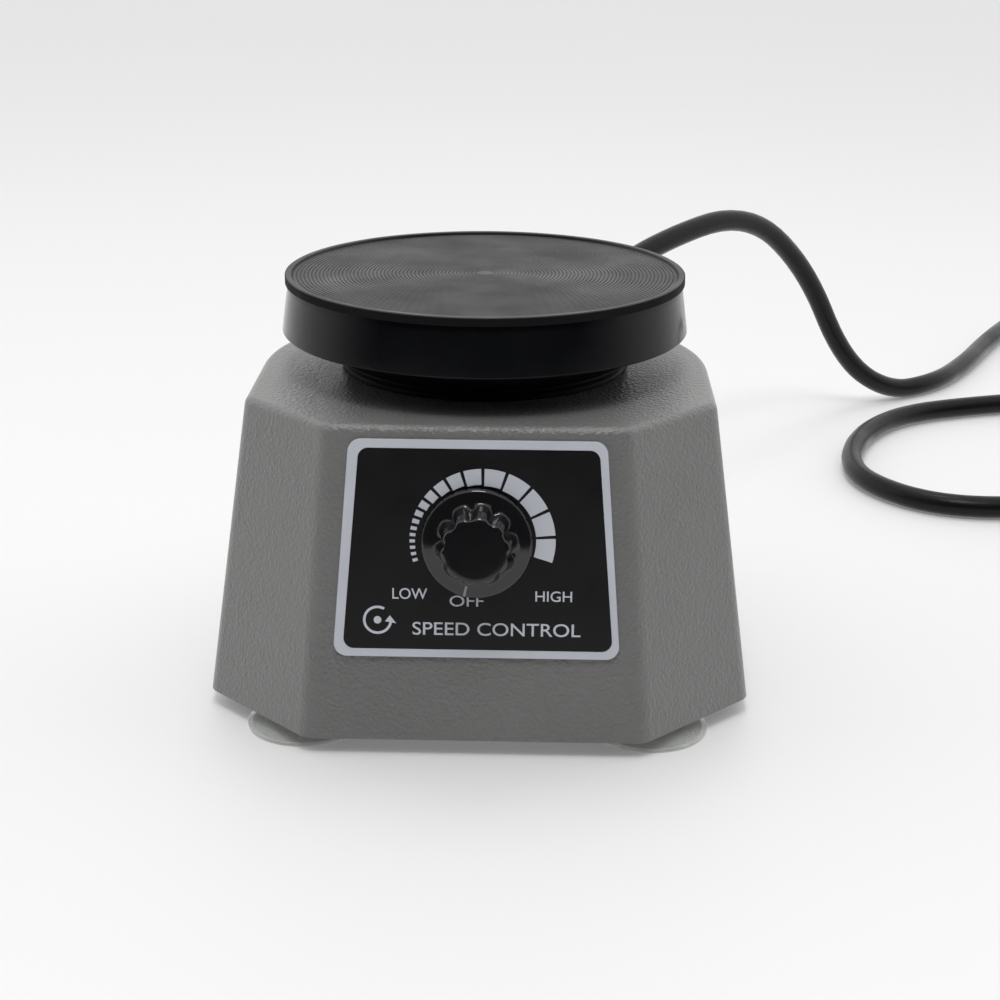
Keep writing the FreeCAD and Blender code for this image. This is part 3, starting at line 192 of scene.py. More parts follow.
# One material for each slot of the record.
MATERIALS = {
    "grey_paint": orange_peel("grey_enamel", (0.163, 0.166, 0.161), 0.34),
    "dark_paint": orange_peel("dark_enamel", (0.03, 0.03, 0.031), 0.45),
    "mat_rubber": moulded("mat_rubber", (0.012, 0.012, 0.0125), 0.5, 0.2, 2200, 0.00003),
    "platform_plastic": moulded("platform_gloss", (0.0042, 0.0045, 0.0055), 0.16, 0.2, 300, 0.00003,
                                Specular_IOR_Level=0.14),
    "boot_rubber": moulded("boot_rubber", (0.004, 0.0042, 0.0045), 0.6, 0.2, Specular_IOR_Level=0.15),
    "knob_plastic": moulded("knob_gloss", (0.007, 0.007, 0.008), 0.09, 0.1, 240, 0.00002),
    "white_mark": moulded("white_inlay", (0.38, 0.38, 0.38), 0.5, 0.04),
    "printed_label": moulded("label_silver", (0.57, 0.59, 0.65), 0.4, 0.03, 2600, 0.000004),
    "clear_cup": clear_vinyl("clear_vinyl", (0.70, 0.72, 0.69)),
    "steel": metal("steel", (0.52, 0.52, 0.53), 0.32, (1, 1, 0.1)),
    "screw_steel": metal("plated_steel", (0.58, 0.57, 0.54), 0.28),
    "bearing_steel": metal("bearing_steel", (0.62, 0.62, 0.63), 0.12),
    "hub_steel": metal("turned_steel", (0.42, 0.42, 0.43), 0.3, (0.2, 0.2, 1)),
    "cast_alloy": metal("cast_alloy", (0.55, 0.55, 0.55), 0.5),
    "copper": wound_wire("copper_wire", (0.62, 0.24, 0.09), 0.0007),
    "black_plastic": moulded("black_moulding", (0.011, 0.011, 0.012), 0.38, 0.15),
    "board_green": printed_board("board_green", (0.02, 0.13, 0.05)),
    "light_plastic": moulded("light_moulding", (0.7, 0.68, 0.62), 0.4, 0.05),
    "film_yellow": moulded("yellow_case", (0.6, 0.36, 0.03), 0.35, 0.06),
    "grommet_rubber": moulded("grommet_rubber", (0.02, 0.02, 0.02), 0.7, 0.15),
    "shaft_metal": metal("shaft_alloy", (0.6, 0.6, 0.6), 0.25),
    "wire_sheath": moulded("wire_sheath", (0.28, 0.03, 0.025), 0.4, 0.1),
    "cord_sheath": moulded("cord_vinyl", (0.006, 0.0062, 0.0066), 0.34, 0.2, 700, 0.00008,
                           Specular_IOR_Level=0.16),
    "sleeve_rubber": moulded("sleeve_rubber", (0.010, 0.010, 0.011), 0.45, 0.15),
    "plug_vinyl": moulded("plug_vinyl", (0.012, 0.012, 0.013), 0.42, 0.15, 1200, 0.00003),
    "blade_brass": metal("blade_nickel", (0.66, 0.62, 0.5), 0.22, (1, 0.1, 1)),
}
# The mat's side, a darker and duller copy of the mat's rubber that paints shade on it, and the panel's black ink.
# Each shares a slot with another material.
SHADED_SIDE_RUBBER = moulded("mat_side_painted_shade", (0.006, 0.006, 0.0065), 0.7, 0.1, 2200, 0.00002,
                     Specular_IOR_Level=0.08)
FIELD_BLACK = moulded("label_black", (0.0024, 0.0026, 0.0036), 0.3, 0.15, 2600, 0.000004,
                      Specular_IOR_Level=0.3)


def dress_cad_nodes():
    """Give every CAD node the material of its slot."""
    for name, piece in frame["nodes"].items():
        piece.data.materials.clear()
        piece.data.materials.append(MATERIALS[SLOT_OF[name]])


# ---------------------------------------------------------------- mesh tools

def add_piece(name, data, body, slot, *cad_nodes, material=None):
    """A finished piece that rides on a body and may stand for CAD nodes."""
    piece = bpy.data.objects.new(name, data)
    bpy.context.scene.collection.objects.link(piece)
    data.materials.clear()
    data.materials.append(material or MATERIALS[slot])
    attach(piece, body)
    if cad_nodes:
        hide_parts(*cad_nodes)
    return piece


def mesh_from(bm, name, place=None):
    """Close a bmesh into a smooth mesh with its sharp edges kept."""
    bmesh.ops.remove_doubles(bm, verts=bm.verts, dist=1e-7)
    bmesh.ops.recalc_face_normals(bm, faces=bm.faces)
    if place is not None:
        bm.transform(place)
    data = bpy.data.meshes.new(name)
    bm.to_mesh(data)
    bm.free()
    data.polygons.foreach_set("use_smooth", [True] * len(data.polygons))
    data.set_sharp_from_angle(angle=SMOOTH_BELOW)
    return data


def rounded(corners, steps=4):
    """An outline whose corners (x, y, radius) become arcs. Corners with no radius stay sharp."""
    points = []
    count = len(corners)
    for i, corner in enumerate(corners):
        here = Vector(corner[:2])
        if len(corner) < 3:
            points.append(here)
            continue
        before = Vector(corners[i - 1][:2]) - here
        after = Vector(corners[(i + 1) % count][:2]) - here
        half = before.angle(after) / 2
        reach = min(corner[2] / math.tan(half), 0.49 * before.length, 0.49 * after.length)
        radius = reach * math.tan(half)
        middle = (before.normalized() + after.normalized()).normalized()
        centre = here + middle * (radius / math.sin(half))
        start = here + before.normalized() * reach - centre
        end = here + after.normalized() * reach - centre
        for k in range(steps + 1):
            share = k / steps
            spoke = start.lerp(end, share)
            points.append(centre + spoke.normalized() * radius)
    return points


def loft(name, rings, place=None, caps=True, loop=False):
    """Skin closed rings of equal length. caps closes the ends, and loop joins the last to the first."""
    bm = bmesh.new()
    rows = [[bm.verts.new(point) for point in ring] for ring in rings]
    pairs = list(zip(rows, rows[1:]))
    if loop:
        pairs.append((rows[-1], rows[0]))
    for low, high in pairs:
        for i in range(len(low)):
            j = (i + 1) % len(low)
            bm.faces.new((low[i], low[j], high[j], high[i]))
    if caps and not loop:
        bm.faces.new(rows[0])
        bm.faces.new(rows[-1])
    return mesh_from(bm, name, place)


def turn(radius, height, segments, wave=None):
    """A ring of points about Z. wave(angle) scales the radius."""
    ring = []
    for i in range(segments):
        angle = CIRCLE * i / segments
        reach = radius * (wave(angle) if wave else 1)
        ring.append((reach * math.cos(angle), reach * math.sin(angle), height))
    return ring


def lathe(name, profile, place=None, segments=160, closed=False):
    """Turn a profile of (radius, height) about Z. A closed profile makes a ring."""
    rings = [turn(max(radius, 1e-5), height, segments) for radius, height in profile]
    return loft(name, rings, place, loop=closed)


def upright_at(node_name):
    """A placement whose origin is on the floor under the middle of a CAD node."""
    low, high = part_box(node_name)
    return Matrix.Translation(((low.x + high.x) / 2, (low.y + high.y) / 2, 0))


def axis_frame(origin, outwards):
    """A placement with Z outwards and X to the object's right."""
    z = Vector(outwards).normalized()
    x = Vector((1, 0, 0))
    y = z.cross(x).normalized()
    turned = Matrix((x, y, z)).transposed().to_4x4()
    return Matrix.Translation(origin) @ turned


# ---------------------------------------------------------------- platform

def make_mat():
    """Black rubber disc: a bead round the rim and fine concentric grooves across the field."""
    low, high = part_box("rubber_mat")
    radius = (high.x - low.x) / 2
    bead, edge_round, wall = 0.0016, 0.0002, 0.0003
    sunk = 0.0007
    field = high.z - sunk
    profile = rounded([
        (0, low.z), (radius - wall, low.z), (radius - wall, high.z - 2 * edge_round),
        (radius - edge_round, high.z - edge_round), (radius - 2 * edge_round, high.z),
        (radius - bead, high.z, 0.0003), (radius - bead - 0.0001, field - 0.0002, 0.0001),
        (radius - bead - 0.0004, field, 0.0001),
    ])
    pitch, groove, depth = 0.00095, 0.00038, 0.00020
    edge = radius - bead - 0.0011
    while edge > 2 * pitch:
        profile += [Vector((edge, field)), Vector((edge - 0.3 * groove, field - depth)),
                    Vector((edge - 0.7 * groove, field - depth)), Vector((edge - groove, field))]
        edge -= pitch
    profile.append(Vector((0, field)))
    add_piece("mat", lathe("mat", profile, upright_at("rubber_mat"), 200), "platform", "mat_rubber",
              "rubber_mat")
    side = rounded([
        (radius - wall, low.z), (radius, low.z), (radius, high.z - edge_round, edge_round / 2),
        (radius - edge_round, high.z - edge_round), (radius - wall, high.z - 2 * edge_round),
    ])
    # The side is dressed in the darker copy of the mat's rubber: painted shade.
    add_piece("mat_side", lathe("mat_side", side, upright_at("rubber_mat"), 200, closed=True),
              "platform", "mat_rubber", material=SHADED_SIDE_RUBBER)


def make_platform_shell():
    """Cup-shaped moulding: a skirt that widens to its lip, with a softly rounded shoulder on top."""
    low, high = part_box("platform_shell")
    lip = (high.x - low.x) / 2
    shoulder = lip - 0.0015
    inner = lip - 0.0036
    roof = high.z - 0.003
    profile = rounded([
        (0, roof), (inner - 0.0006, roof, 0.0012), (inner, low.z + 0.0004, 0.0004),
        (inner + 0.0004, low.z, 0.0003), (lip, low.z, 0.0004), (shoulder, high.z - 0.0014, 0.0014),
        (shoulder - 0.0004, high.z, 0.0003), (0, high.z),
    ], 6)
    add_piece("platform_cup", lathe("platform_cup", profile, upright_at("platform_shell"), 256),
              "platform", "platform_plastic", "platform_shell")


def make_boot():
    """A bowl of thick rubber between the housing's top and the platform, on a flat foot."""
    low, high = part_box("dust_boot")
    belly = (high.x - low.x) / 2
    belly_level = low.z + 0.012
    knee, knee_level = belly - 0.0074, low.z + 0.0033
    foot, sheet, flange = belly - 0.0084, 0.0016, 0.0082
    profile = rounded([
        (foot - flange, low.z), (foot, low.z, 0.0003), (foot, low.z + 0.0012, 0.0006),
        (foot - 0.0012, low.z + 0.0019, 0.0005), (foot - 0.0012, knee_level - 0.0007, 0.0004),
        (knee, knee_level, 0.0006), (knee + 0.0043, knee_level + 0.0032, 0.004),
        (belly - 0.0006, belly_level - 0.0027, 0.004), (belly, belly_level, 0.003),
        (belly - 0.0006, high.z, 0.0004), (belly - 0.0006 - sheet, high.z, 0.0004),
        (belly - sheet, belly_level, 0.003), (belly - 0.0004 - sheet, belly_level - 0.002, 0.003),
        (knee + 0.0032, knee_level + 0.0045, 0.003), (knee - 0.0006, knee_level + 0.0017, 0.0006),
        (foot - 0.0028, knee_level - 0.0002, 0.0004), (foot - 0.0028, low.z + sheet, 0.0003),
        (foot - flange, low.z + sheet),
    ])
    add_piece("boot", lathe("boot", profile, upright_at("dust_boot"), 160, closed=True), "root",
              "boot_rubber", "dust_boot")


# ---------------------------------------------------------------- suction feet

def make_feet():
    """Four clear cups: a thin flared rim, a hollow underneath and a neck with a moulded step."""
    low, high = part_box("suction_feet")
    radius = 0.0142
    centre_x = high.x - radius
    rows = (low.y + radius, high.y - radius)
    stud = 0.00205
    profile = rounded([
        (0, 0.0015), (0.006, 0.0012), (radius - 0.0016, 0, 0.0004), (radius, 0, 0.0001),
        (radius, 0.0007, 0.0003), (0.0082, 0.003, 0.0012), (0.0058, 0.0036, 0.0008),
        (0.0046, high.z, 0.0002), (stud, high.z), (stud, 0.0026), (0, 0.0026),
    ])
    spots = [(side * centre_x, row) for side in (-1, 1) for row in rows]
    for number, (x, y) in enumerate(spots, 1):
        place = Matrix.Translation((x, y, 0))
        name = f"suction_foot_{number}"
        add_piece(name, lathe(name, profile, place, 96), "root", "clear_cup", "suction_feet")


# ---------------------------------------------------------------- control panel

def wall_normal():
    """The way the front wall faces, from the control panel's largest face."""
    faces = [face for face in frame["nodes"]["control_panel"].data.polygons if face.normal.y < -0.9]
    return max(faces, key=lambda face: face.area).normal


OUT = wall_normal()
KNOB_SPOT = Vector(JOINTS["knob_turn"]["pos_m"])
KNOB_FRAME = axis_frame(KNOB_SPOT, OUT)
PANEL_FACE = 0.0008
PRINT_THICK = 0.00004


def print_on_panel(name, data, layer, material=None):
    """Lay a flat mesh on the panel's face as a layer of ink, silver unless a material is given."""
    data.name = name
    data.transform(KNOB_FRAME @ Matrix.Translation((0, 0, PANEL_FACE + layer * PRINT_THICK)))
    add_piece(name, data, "root", "printed_label", material=material)


def flat_mesh(curve):
    """The mesh of a filled curve or a text, a thin layer whose underside is at z = 0."""
    curve.extrude = PRINT_THICK / 2
    holder = bpy.data.objects.new("flat", curve)
    bpy.context.scene.collection.objects.link(holder)
    bpy.context.view_layer.update()
    data = bpy.data.meshes.new_from_object(holder.evaluated_get(bpy.context.evaluated_depsgraph_get()))
    bpy.data.objects.remove(holder)
    data.transform(Matrix.Translation((0, 0, PRINT_THICK / 2)))
    return data


def flat_shape(outlines):
    """A filled flat shape. Inner outlines are holes."""
    curve = bpy.data.curves.new("outline", "CURVE")
    curve.dimensions = "2D"
    curve.fill_mode = "BOTH"
    for outline in outlines:
        spline = curve.splines.new("POLY")
        spline.points.add(len(outline) - 1)
        for point, (x, y) in zip(spline.points, outline):
            point.co = (x, y, 0, 1)
        spline.use_cyclic_u = True
    return flat_mesh(curve)


def on_circle(centre, radius, angle):
    return (centre[0] + radius * math.cos(angle), centre[1] + radius * math.sin(angle))


def arc(centre, radius, first, last, steps):
    """Points along an arc, from one angle to the other."""
    return [on_circle(centre, radius, first + (last - first) * i / steps) for i in range(steps + 1)]


def make_panel_field():
    """The black field inside the silver border, with the knob's hole left open."""
    side, low, top = 0.0020, -0.0257, 0.0218
    half_low, half_top = 0.0335, 0.0296
    middle = 0.0006 - KNOB_SPOT.x
    corner = 0.0024
    outline = rounded([
        (middle - half_low + side, low, corner), (middle + half_low - side, low, corner),
        (middle + half_top - side, top, corner), (middle - half_top + side, top, corner),
    ], 8)
    hole_round = 0.0062
    hole = arc((0, 0), hole_round, 0, CIRCLE, 48)[:-1]
    print_on_panel("panel_field", flat_shape([outline, hole]), 0, FIELD_BLACK)


def make_speed_scale():
    """Bars round the knob that grow wider and longer clockwise, from LOW to HIGH."""
    centre = (0.0013, 0.0004)
    outer = 0.01685
    count = 18
    start, end = math.radians(199.5), math.radians(-18.5)
    gap = 0.0008 / outer
    shortest, growth = 0.0012, 0.0033
    narrow_bars, widening_bars = 4, 10
    narrowest, widening = 5.2, 16.7
    shares = []
    for k in range(count):
        progress = min(max((k - narrow_bars) / widening_bars, 0), 1)
        shares.append(narrowest + widening * progress ** 1.7)
    angle = start
    bars = []
    for k, share in enumerate(shares):
        step = (end - start) * share / sum(shares)
        grown = (k / (count - 1)) ** 1.25
        inner = outer - shortest - growth * grown ** 3 * (10 - 15 * grown + 6 * grown ** 2)
        first, last = angle - gap / 2, angle + step + gap / 2
        bars.append(arc(centre, outer, first, last, 8) + arc(centre, inner, last, first, 8))
        angle += step
    print_on_panel("speed_scale", flat_shape(bars), 1)


def make_word(word, x, y, wide, tall):
    """A plain control word of the given width and height, about its middle."""
    text = bpy.data.curves.new("word", "FONT")
    text.body = word
    text.offset = 0.004
    data = flat_mesh(text)
    across = [vertex.co.x for vertex in data.vertices]
    along = [vertex.co.y for vertex in data.vertices]
    middle = Vector(((min(across) + max(across)) / 2, (min(along) + max(along)) / 2, 0))
    data.transform(Matrix.Translation(-middle))
    stretch = (wide / (max(across) - min(across)), tall / (max(along) - min(along)), 1, 1)
    data.transform(Matrix.Translation((x, y, 0)) @ Matrix.Diagonal(stretch))
    print_on_panel("word_" + word.lower().replace(" ", "_"), data, 1)


def make_words():
    """The control words, each with its middle, width and height."""
    make_word("LOW", -0.0155, -0.0124, 0.0081, 0.0026)
    make_word("OFF", -0.0023, -0.0140, 0.0079, 0.0026)
    make_word("HIGH", 0.0179, -0.0126, 0.0085, 0.0025)
    make_word("SPEED CONTROL", 0.0047, -0.0207, 0.0391, 0.0031)


def make_orbit_sign():
    """A plain picture of the motion: an open ring that ends in an arrowhead, round a dot."""
    spot = (-0.0230, -0.0188)
    radius, stroke, dot_radius = 0.0031, 0.0006, 0.0009
    first, last = math.radians(60), math.radians(350)
    head_half, head_turn = 2.2 * stroke, 0.55
    outside = arc(spot, radius + stroke / 2, first, last, 40)
    inside = arc(spot, radius - stroke / 2, last, first, 40)
    head = [
        on_circle(spot, radius, last + head_turn),
        on_circle(spot, radius + head_half, last),
        on_circle(spot, radius - head_half, last),
    ]
    dot = arc(spot, dot_radius, 0, CIRCLE, 32)[:-1]
    print_on_panel("orbit_sign", flat_shape([outside + inside, head, dot]), 1)


# ---------------------------------------------------------------- knob

LOBES = 10
LOBE_TURN = math.radians(8)


def lobed(angle, depth):
    """Radius share round the knob's grip: broad rounded lobes with narrower valleys."""
    valley = (1 - math.cos(LOBES * (angle - LOBE_TURN))) / 2
    return 1 - depth * valley ** 2


def make_knob():
    """Skirted knob: a polished skirt that slopes to a rolled rim, and a lobed grip with a flat front."""
    skirt, gap, rim, step = 0.0129, 0.0013, 0.0030, 0.0037
    grip_low, grip_top, front = 0.0095, 0.0079, 0.0112
    bore, bore_end, hollow = 0.0031, 0.0097, 0.0072
    outline = rounded([
        (bore, bore_end), (bore, step - 0.0004), (hollow, step - 0.0004), (hollow, gap),
        (skirt, gap, 0.0002), (skirt, rim, 0.0013), (grip_low, step, 0.0010),
        (grip_top, front, 0.0013), (grip_top - 0.0020, front), (0, front),
    ], 8)
    foot, growth = step - 0.0002, 0.0010
    foot_depth, taper = 0.145, 0.05
    rings = []
    for radius, height in outline:
        on_grip = hollow < radius < skirt - 0.001 and height > foot
        grown = min(max((height - foot) / growth, 0), 1) if on_grip else 0
        depth = foot_depth - taper * (height - step) / (front - step)
        depth *= grown * grown * (3 - 2 * grown)
        rings.append(turn(max(radius, 1e-5), height, 320, lambda a, d=depth: lobed(a, d)))
    data = loft("knob_shell", rings, KNOB_FRAME)
    add_piece("knob_shell", data, "knob", "knob_plastic", "speed_knob")


def make_pointer():
    """The white line let into the knob's skirt."""
    low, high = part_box("knob_pointer")
    middle = KNOB_FRAME.inverted() @ ((low + high) / 2)
    angle = math.atan2(middle.y, middle.x)
    long, wide, tall, corner = 0.0027, 0.0006, 0.00012, 0.0003
    outline = rounded([
        (-long / 2, -wide / 2, corner), (long / 2, -wide / 2, corner),
        (long / 2, wide / 2, corner), (-long / 2, wide / 2, corner),
    ])
    bar = [[(x, y, z) for x, y in outline] for z in (-tall, tall)]
    place = KNOB_FRAME @ Matrix.Rotation(angle, 4, "Z") @ Matrix.Translation(
        (math.hypot(middle.x, middle.y), 0, middle.z))
    add_piece("pointer_line", loft("pointer_line", bar, place), "knob", "white_mark", "knob_pointer")


# ---------------------------------------------------------------- lead, gland and plug

LEAD = 0.0036
EXIT = Vector((0.025, 0.1039, 0.0641))
GLAND_AXIS = Vector((0, -OUT.y, OUT.z))
SLEEVE_TOP = 0.045
NUT_BORE = 0.0053
GLAND_FRAME = axis_frame(EXIT - GLAND_AXIS * SLEEVE_TOP, GLAND_AXIS)

# Corners of the lead's free route, from inside the sleeve to the coil.
LEAD_ROUTE = [
    (0.025, 0.0841, 0.0614), (0.025, 0.122, 0.0666), (0.050, 0.151, 0.0785), (0.084, 0.189, 0.083),
    (0.109, 0.214, 0.058), (0.127, 0.230, 0.019), (0.147, 0.241, 0.0036), (0.167, 0.254, 0.0036),
    (0.184, 0.282, 0.0036), (0.198, 0.313, 0.0036), (0.214, 0.345, 0.0036), (0.232, 0.374, 0.0036),
    (0.264, 0.386, 0.0036), (0.295, 0.375, 0.0036), (0.312, 0.345, 0.0036), (0.310, 0.309, 0.0036),
    (0.292, 0.275, 0.0036), (0.260, 0.249, 0.0036), (0.218, 0.235, 0.0036), (0.176, 0.223, 0.0036),
    (0.147, 0.210, 0.0036), (0.129, 0.186, 0.0036), (0.120, 0.157, 0.0036), (0.121, 0.132, 0.0036),
    (0.138, 0.110, 0.0036), (0.165, 0.106, 0.0036), (0.188, 0.117, 0.0036), (0.1975, 0.127, 0.0036),
]


def coil_points():
    """The unseen length: two turns side by side on the floor, and the last part on top of them."""
    low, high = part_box("cord_coil")
    centre = (low + high) / 2
    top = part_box("cord_tail")[1].z - LEAD + 0.0008
    steps = 16
    outer, inner, over = 0.0441, 0.0367, 0.0405
    keys = [(112, outer, LEAD), (-150, outer, LEAD), (-240, inner, LEAD), (-425, inner, LEAD),
            (-505, over, top), (-700, over, top)]
    points = []
    angle = keys[0][0]
    while angle > keys[-1][0]:
        for (a, ra, za), (b, rb, zb) in zip(keys, keys[1:]):
            if b <= angle <= a:
                share = (a - angle) / (a - b)
                share = share * share * (3 - 2 * share)
                reach, level = ra + (rb - ra) * share, za + (zb - za) * share
        spoke = math.radians(angle)
        points.append((centre.x + reach * math.cos(spoke), centre.y + reach * math.sin(spoke), level))
        angle -= 360 / steps
    return points


def tail_points():
    """From the top of the coil straight into the plug."""
    low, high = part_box("cord_tail")
    x = (low.x + high.x) / 2
    level = (low.z + high.z) / 2
    return [(x, high.y - 0.006, level + 0.0008), (x, high.y - 0.018, level + 0.0006), (x, low.y, level)]


def make_lead():
    """The whole lead, from inside the sleeve to inside the plug."""
    points = LEAD_ROUTE + coil_points() + tail_points()
    curve = bpy.data.curves.new("lead", "CURVE")
    curve.dimensions = "3D"
    curve.resolution_u = 8
    curve.bevel_depth = LEAD
    curve.bevel_resolution = 6
    curve.use_fill_caps = True
    spline = curve.splines.new("NURBS")
    spline.points.add(len(points) - 1)
    for point, spot in zip(spline.points, points):
        point.co = (*spot, 1)
    spline.order_u = 3
    spline.use_endpoint_u = True
    spline.use_smooth = True
    return add_piece("lead", curve, "root", "cord_sheath", "mains_cord", "cord_coil", "cord_tail")


def make_sleeve():
    """Tapered strain relief with seven grooves round it."""
    root_round, tip_round, hole = 0.0062, 0.0045, LEAD + 0.00005
    start, top, hole_deep = 0.0125, SLEEVE_TOP, 0.02
    plug_long, first_groove, pitch = 0.006, 0.006, 0.0037
    corners = [(0, start - plug_long), (NUT_BORE, start - plug_long), (NUT_BORE, start),
               (root_round, start, 0.0003)]
    for k in range(7):
        level = start + first_groove + k * pitch
        reach = root_round + (tip_round - root_round) * (level - start) / (top - start)
        corners += [(reach, level, 0.0003), (reach - 0.0008, level + 0.0001, 0.0002),
                    (reach - 0.0008, level + 0.0012, 0.0002), (reach, level + 0.0013, 0.0003)]
    corners += [(tip_round, top, 0.0004), (hole, top, 0.0002), (hole, top - hole_deep),
                (0, top - hole_deep)]
    data = lathe("bend_sleeve", rounded(corners, 3), GLAND_FRAME, 72)
    return add_piece("bend_sleeve", data, "root", "sleeve_rubber", "strain_relief")


def ribbed(angle, depth, ribs=16):
    """Radius share round the clamping nut: broad ribs with narrow grooves between them."""
    return 1 - depth * (0.5 - 0.5 * math.cos(ribs * angle)) ** 3


def make_gland():
    """Hexagon collar against the wall, and a ribbed clamping nut over it."""
    flats, tall, corner, neck_round = 0.018, 0.005, 0.0006, 0.006
    across = flats / math.sqrt(3)
    corners = [(*on_circle((0, 0), across, CIRCLE * (i + 0.5) / 6), corner) for i in range(6)]
    hexagon = rounded(corners, 3)
    neck = [point.normalized() * neck_round for point in hexagon]
    rings = [[(x, y, height) for x, y in neck] for height in (-0.008, 0)]
    for height, share in ((0, 0.97), (0.0004, 1), (tall - 0.0006, 1), (tall, 0.95)):
        rings.append([(x * share, y * share, height) for x, y in hexagon])
    add_piece("gland_collar", loft("gland_collar", rings, GLAND_FRAME), "root", "black_plastic",
              "cord_gland")
    profile = rounded([
        (NUT_BORE, tall), (0.0086, tall, 0.0003), (0.0086, 0.0094, 0.0008), (0.0080, 0.0108, 0.0006),
        (0.0066, 0.0123, 0.0006), (NUT_BORE, 0.0123),
    ], 4)
    rings = []
    for radius, height in profile:
        depth = 0.05 if radius > 0.0075 and height < 0.0106 else 0
        rings.append(turn(radius, height, 160, lambda a, d=depth: ribbed(a, d)))
    add_piece("gland_nut", loft("gland_nut", rings, GLAND_FRAME, loop=True), "root", "black_plastic",
              "gland_dome")


def plug_ring(half_wide, half_tall, level, roundness):
    """One section across the plug, with rounded corners."""
    corners = [(x * half_wide, y * half_tall, roundness) for x, y in ((-1, -1), (1, -1), (1, 1), (-1, 1))]
    return [(x, y, level) for x, y in rounded(corners, 6)]


def make_plug():
    """Moulded two-blade plug: a ribbed neck, a waisted grip and a flat face."""
    tail_low, tail_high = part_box("cord_tail")
    middle = (tail_low + tail_high) / 2
    place = axis_frame((middle.x, tail_low.y, middle.z), (0, -1, 0))
    sections = [
        (0.0046, 0.0046, 0.0000, 0.0045), (0.0048, 0.0048, 0.0030, 0.0045), (0.0042, 0.0042, 0.0036, 0.0040),
        (0.0042, 0.0042, 0.0050, 0.0040), (0.0051, 0.0051, 0.0056, 0.0045), (0.0051, 0.0051, 0.0080, 0.0045),
        (0.0044, 0.0044, 0.0086, 0.0040), (0.0044, 0.0044, 0.0100, 0.0040), (0.0056, 0.0056, 0.0107, 0.0045),
        (0.0062, 0.0060, 0.0140, 0.0045), (0.0094, 0.0080, 0.0175, 0.0045), (0.0118, 0.0092, 0.0215, 0.0045),
        (0.0124, 0.0092, 0.0270, 0.0042), (0.0118, 0.0086, 0.0320, 0.0040), (0.0122, 0.0092, 0.0370, 0.0036),
        (0.0130, 0.0100, 0.0395, 0.0034), (0.0130, 0.0100, 0.0432, 0.0030), (0.0124, 0.0094, 0.0440, 0.0026),
    ]
    data = loft("plug_grip", [plug_ring(*section) for section in sections], place)
    return add_piece("plug_grip", data, "root", "plug_vinyl", "plug_body")


def make_blades():
    """Two flat plug blades with rounded tips."""
    low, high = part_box("plug_pins")
    wide = (high.z - low.z) / 2
    thick = 0.00075
    blades = []
    for side, x in ((1, low.x), (2, high.x - 2 * thick)):
        outline = rounded([(low.y, -wide, 0.002), (high.y, -wide), (high.y, wide), (low.y, wide, 0.002)], 6)
        rings = [[(x + inset_x, y + 0.0002 * inset, z * (1 - 0.05 * inset)) for y, z in outline]
                 for inset_x, inset in ((0, 1), (0.0002, 0), (2 * thick - 0.0002, 0), (2 * thick, 1))]
        place = Matrix.Translation((0, 0, (low.z + high.z) / 2))
        name = f"plug_blade_{side}"
        blades.append(add_piece(name, loft(name, rings, place), "root", "blade_brass", "plug_pins"))
    return blades


# ---------------------------------------------------------------- studio

def make_camera():
    """The viewing angle: in front and a little to the right, looking down at the platform."""
    camera = bpy.data.objects.new("camera", bpy.data.cameras.new("camera"))
    bpy.context.scene.collection.objects.link(camera)
    camera.data.lens = 69.43
    camera.data.sensor_width = 36
    camera.location = (0.01587, -0.47722, 0.20764)
    heading, pitch, roll = math.radians(1.419), math.radians(19.23), math.radians(0.377)
    look = Euler((math.pi / 2 - pitch, 0, heading)).to_matrix()
    camera.rotation_euler = (look @ Matrix.Rotation(roll, 3, "Z")).to_euler()
    bpy.context.scene.camera = camera


def make_floor():
    """A pale floor. Glossy surfaces mirror the studio's walls in its place."""
    bm = bmesh.new()
    bmesh.ops.create_grid(bm, x_segments=2, y_segments=2, size=6.0)
    data = mesh_from(bm, "floor")
    floor = bpy.data.objects.new("floor", data)
    bpy.context.scene.collection.objects.link(floor)
    floor.visible_glossy = False
    white = (0.60, 0.595, 0.597)
    material = new_material("pale_floor", 0.6, Emission_Color=(*white, 1), Emission_Strength=0.28)
    vary_colour(material, noise(material, 2.0), white, 0.01)
    data.materials.append(material)


def ramp_between(world, source, output, dark, bright):
    """One, from zero, as the source goes from the dark value to the bright one."""
    span = node(world, "ShaderNodeMapRange", From_Min=dark, From_Max=bright)
    span.interpolation_type = "SMOOTHSTEP"
    join(world, source, output, span, "Value")
    return span


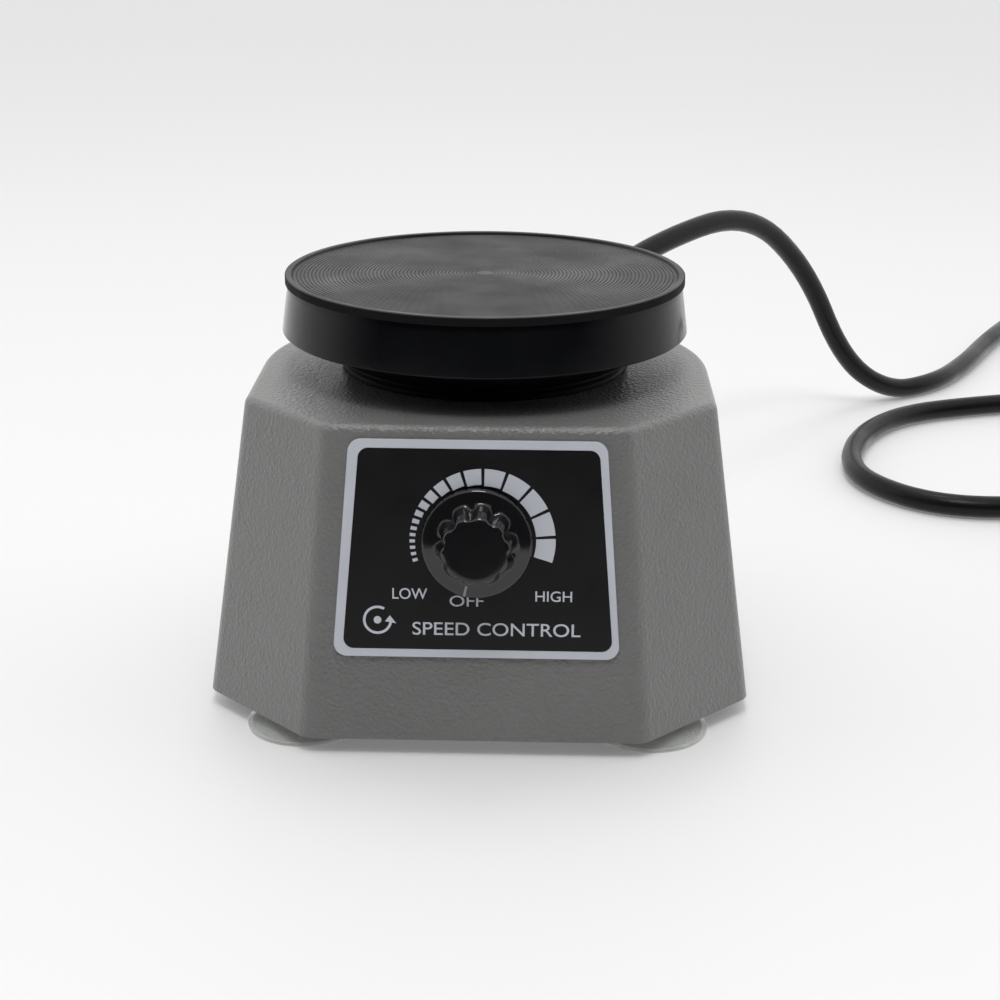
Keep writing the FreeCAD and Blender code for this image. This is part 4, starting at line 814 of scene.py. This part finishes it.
def brighter(world, one, other):
    """The larger of two results."""
    pick = world.node_tree.nodes.new("ShaderNodeMath")
    pick.operation = "MAXIMUM"
    world.node_tree.links.new(one.outputs[0], pick.inputs[0])
    world.node_tree.links.new(other.outputs[0], pick.inputs[1])
    return pick


def make_world():
    """A white tent, open at the front: bright behind, above, below and at the sides."""
    world = bpy.data.worlds.new("studio")
    world.use_nodes = True
    bpy.context.scene.world = world
    split = node(world, "ShaderNodeSeparateXYZ")
    join(world, node(world, "ShaderNodeTexCoord"), "Generated", split, "Vector")
    walls = ramp_between(world, split, "Y", -0.6, 0.2)
    roof = ramp_between(world, split, "Z", 0.6, 0.85)
    below = ramp_between(world, split, "Z", -0.11, -0.16)
    light = brighter(world, walls, brighter(world, roof, below))
    ramp = node(world, "ShaderNodeValToRGB")
    dark, bright = ramp.color_ramp.elements
    dark.color = (0.03, 0.03, 0.032, 1)
    bright.color = (1, 1, 1, 1)
    world.node_tree.links.new(light.outputs[0], ramp.inputs["Fac"])
    background = world.node_tree.nodes["Background"]
    background.inputs["Strength"].default_value = 1.15
    join(world, ramp, "Color", background, "Color")


def make_softbox(name, spot, size, power):
    """A square area light that faces the object."""
    light = bpy.data.lights.new(name, "AREA")
    light.size = size
    light.energy = power
    lamp = bpy.data.objects.new(name, light)
    bpy.context.scene.collection.objects.link(lamp)
    lamp.location = spot
    lamp.rotation_euler = (Vector((0, 0, 0.05)) - Vector(spot)).to_track_quat("-Z", "Y").to_euler()


def make_studio():
    make_camera()
    make_floor()
    make_world()
    make_softbox("top_box", (0.0, 0.35, 1.0), 0.3, 1.5)
    make_softbox("front_box", (0.0, -0.45, 1.10), 0.3, 3.8)
    make_softbox("left_box", (-0.9, 0.1, 0.6), 0.6, 0.5)
    make_softbox("right_box", (0.9, 0.1, 0.6), 0.6, 0.4)
    bpy.context.scene.view_settings.view_transform = "Standard"


# ---------------------------------------------------------------- the object

make_studio()
dress_cad_nodes()
make_mat()
make_platform_shell()
make_boot()
make_feet()
make_panel_field()
make_speed_scale()
make_words()
make_orbit_sign()
make_knob()
make_pointer()
make_gland()
lead = make_lead()
sleeve = make_sleeve()
plug = make_plug()
blades = make_blades()
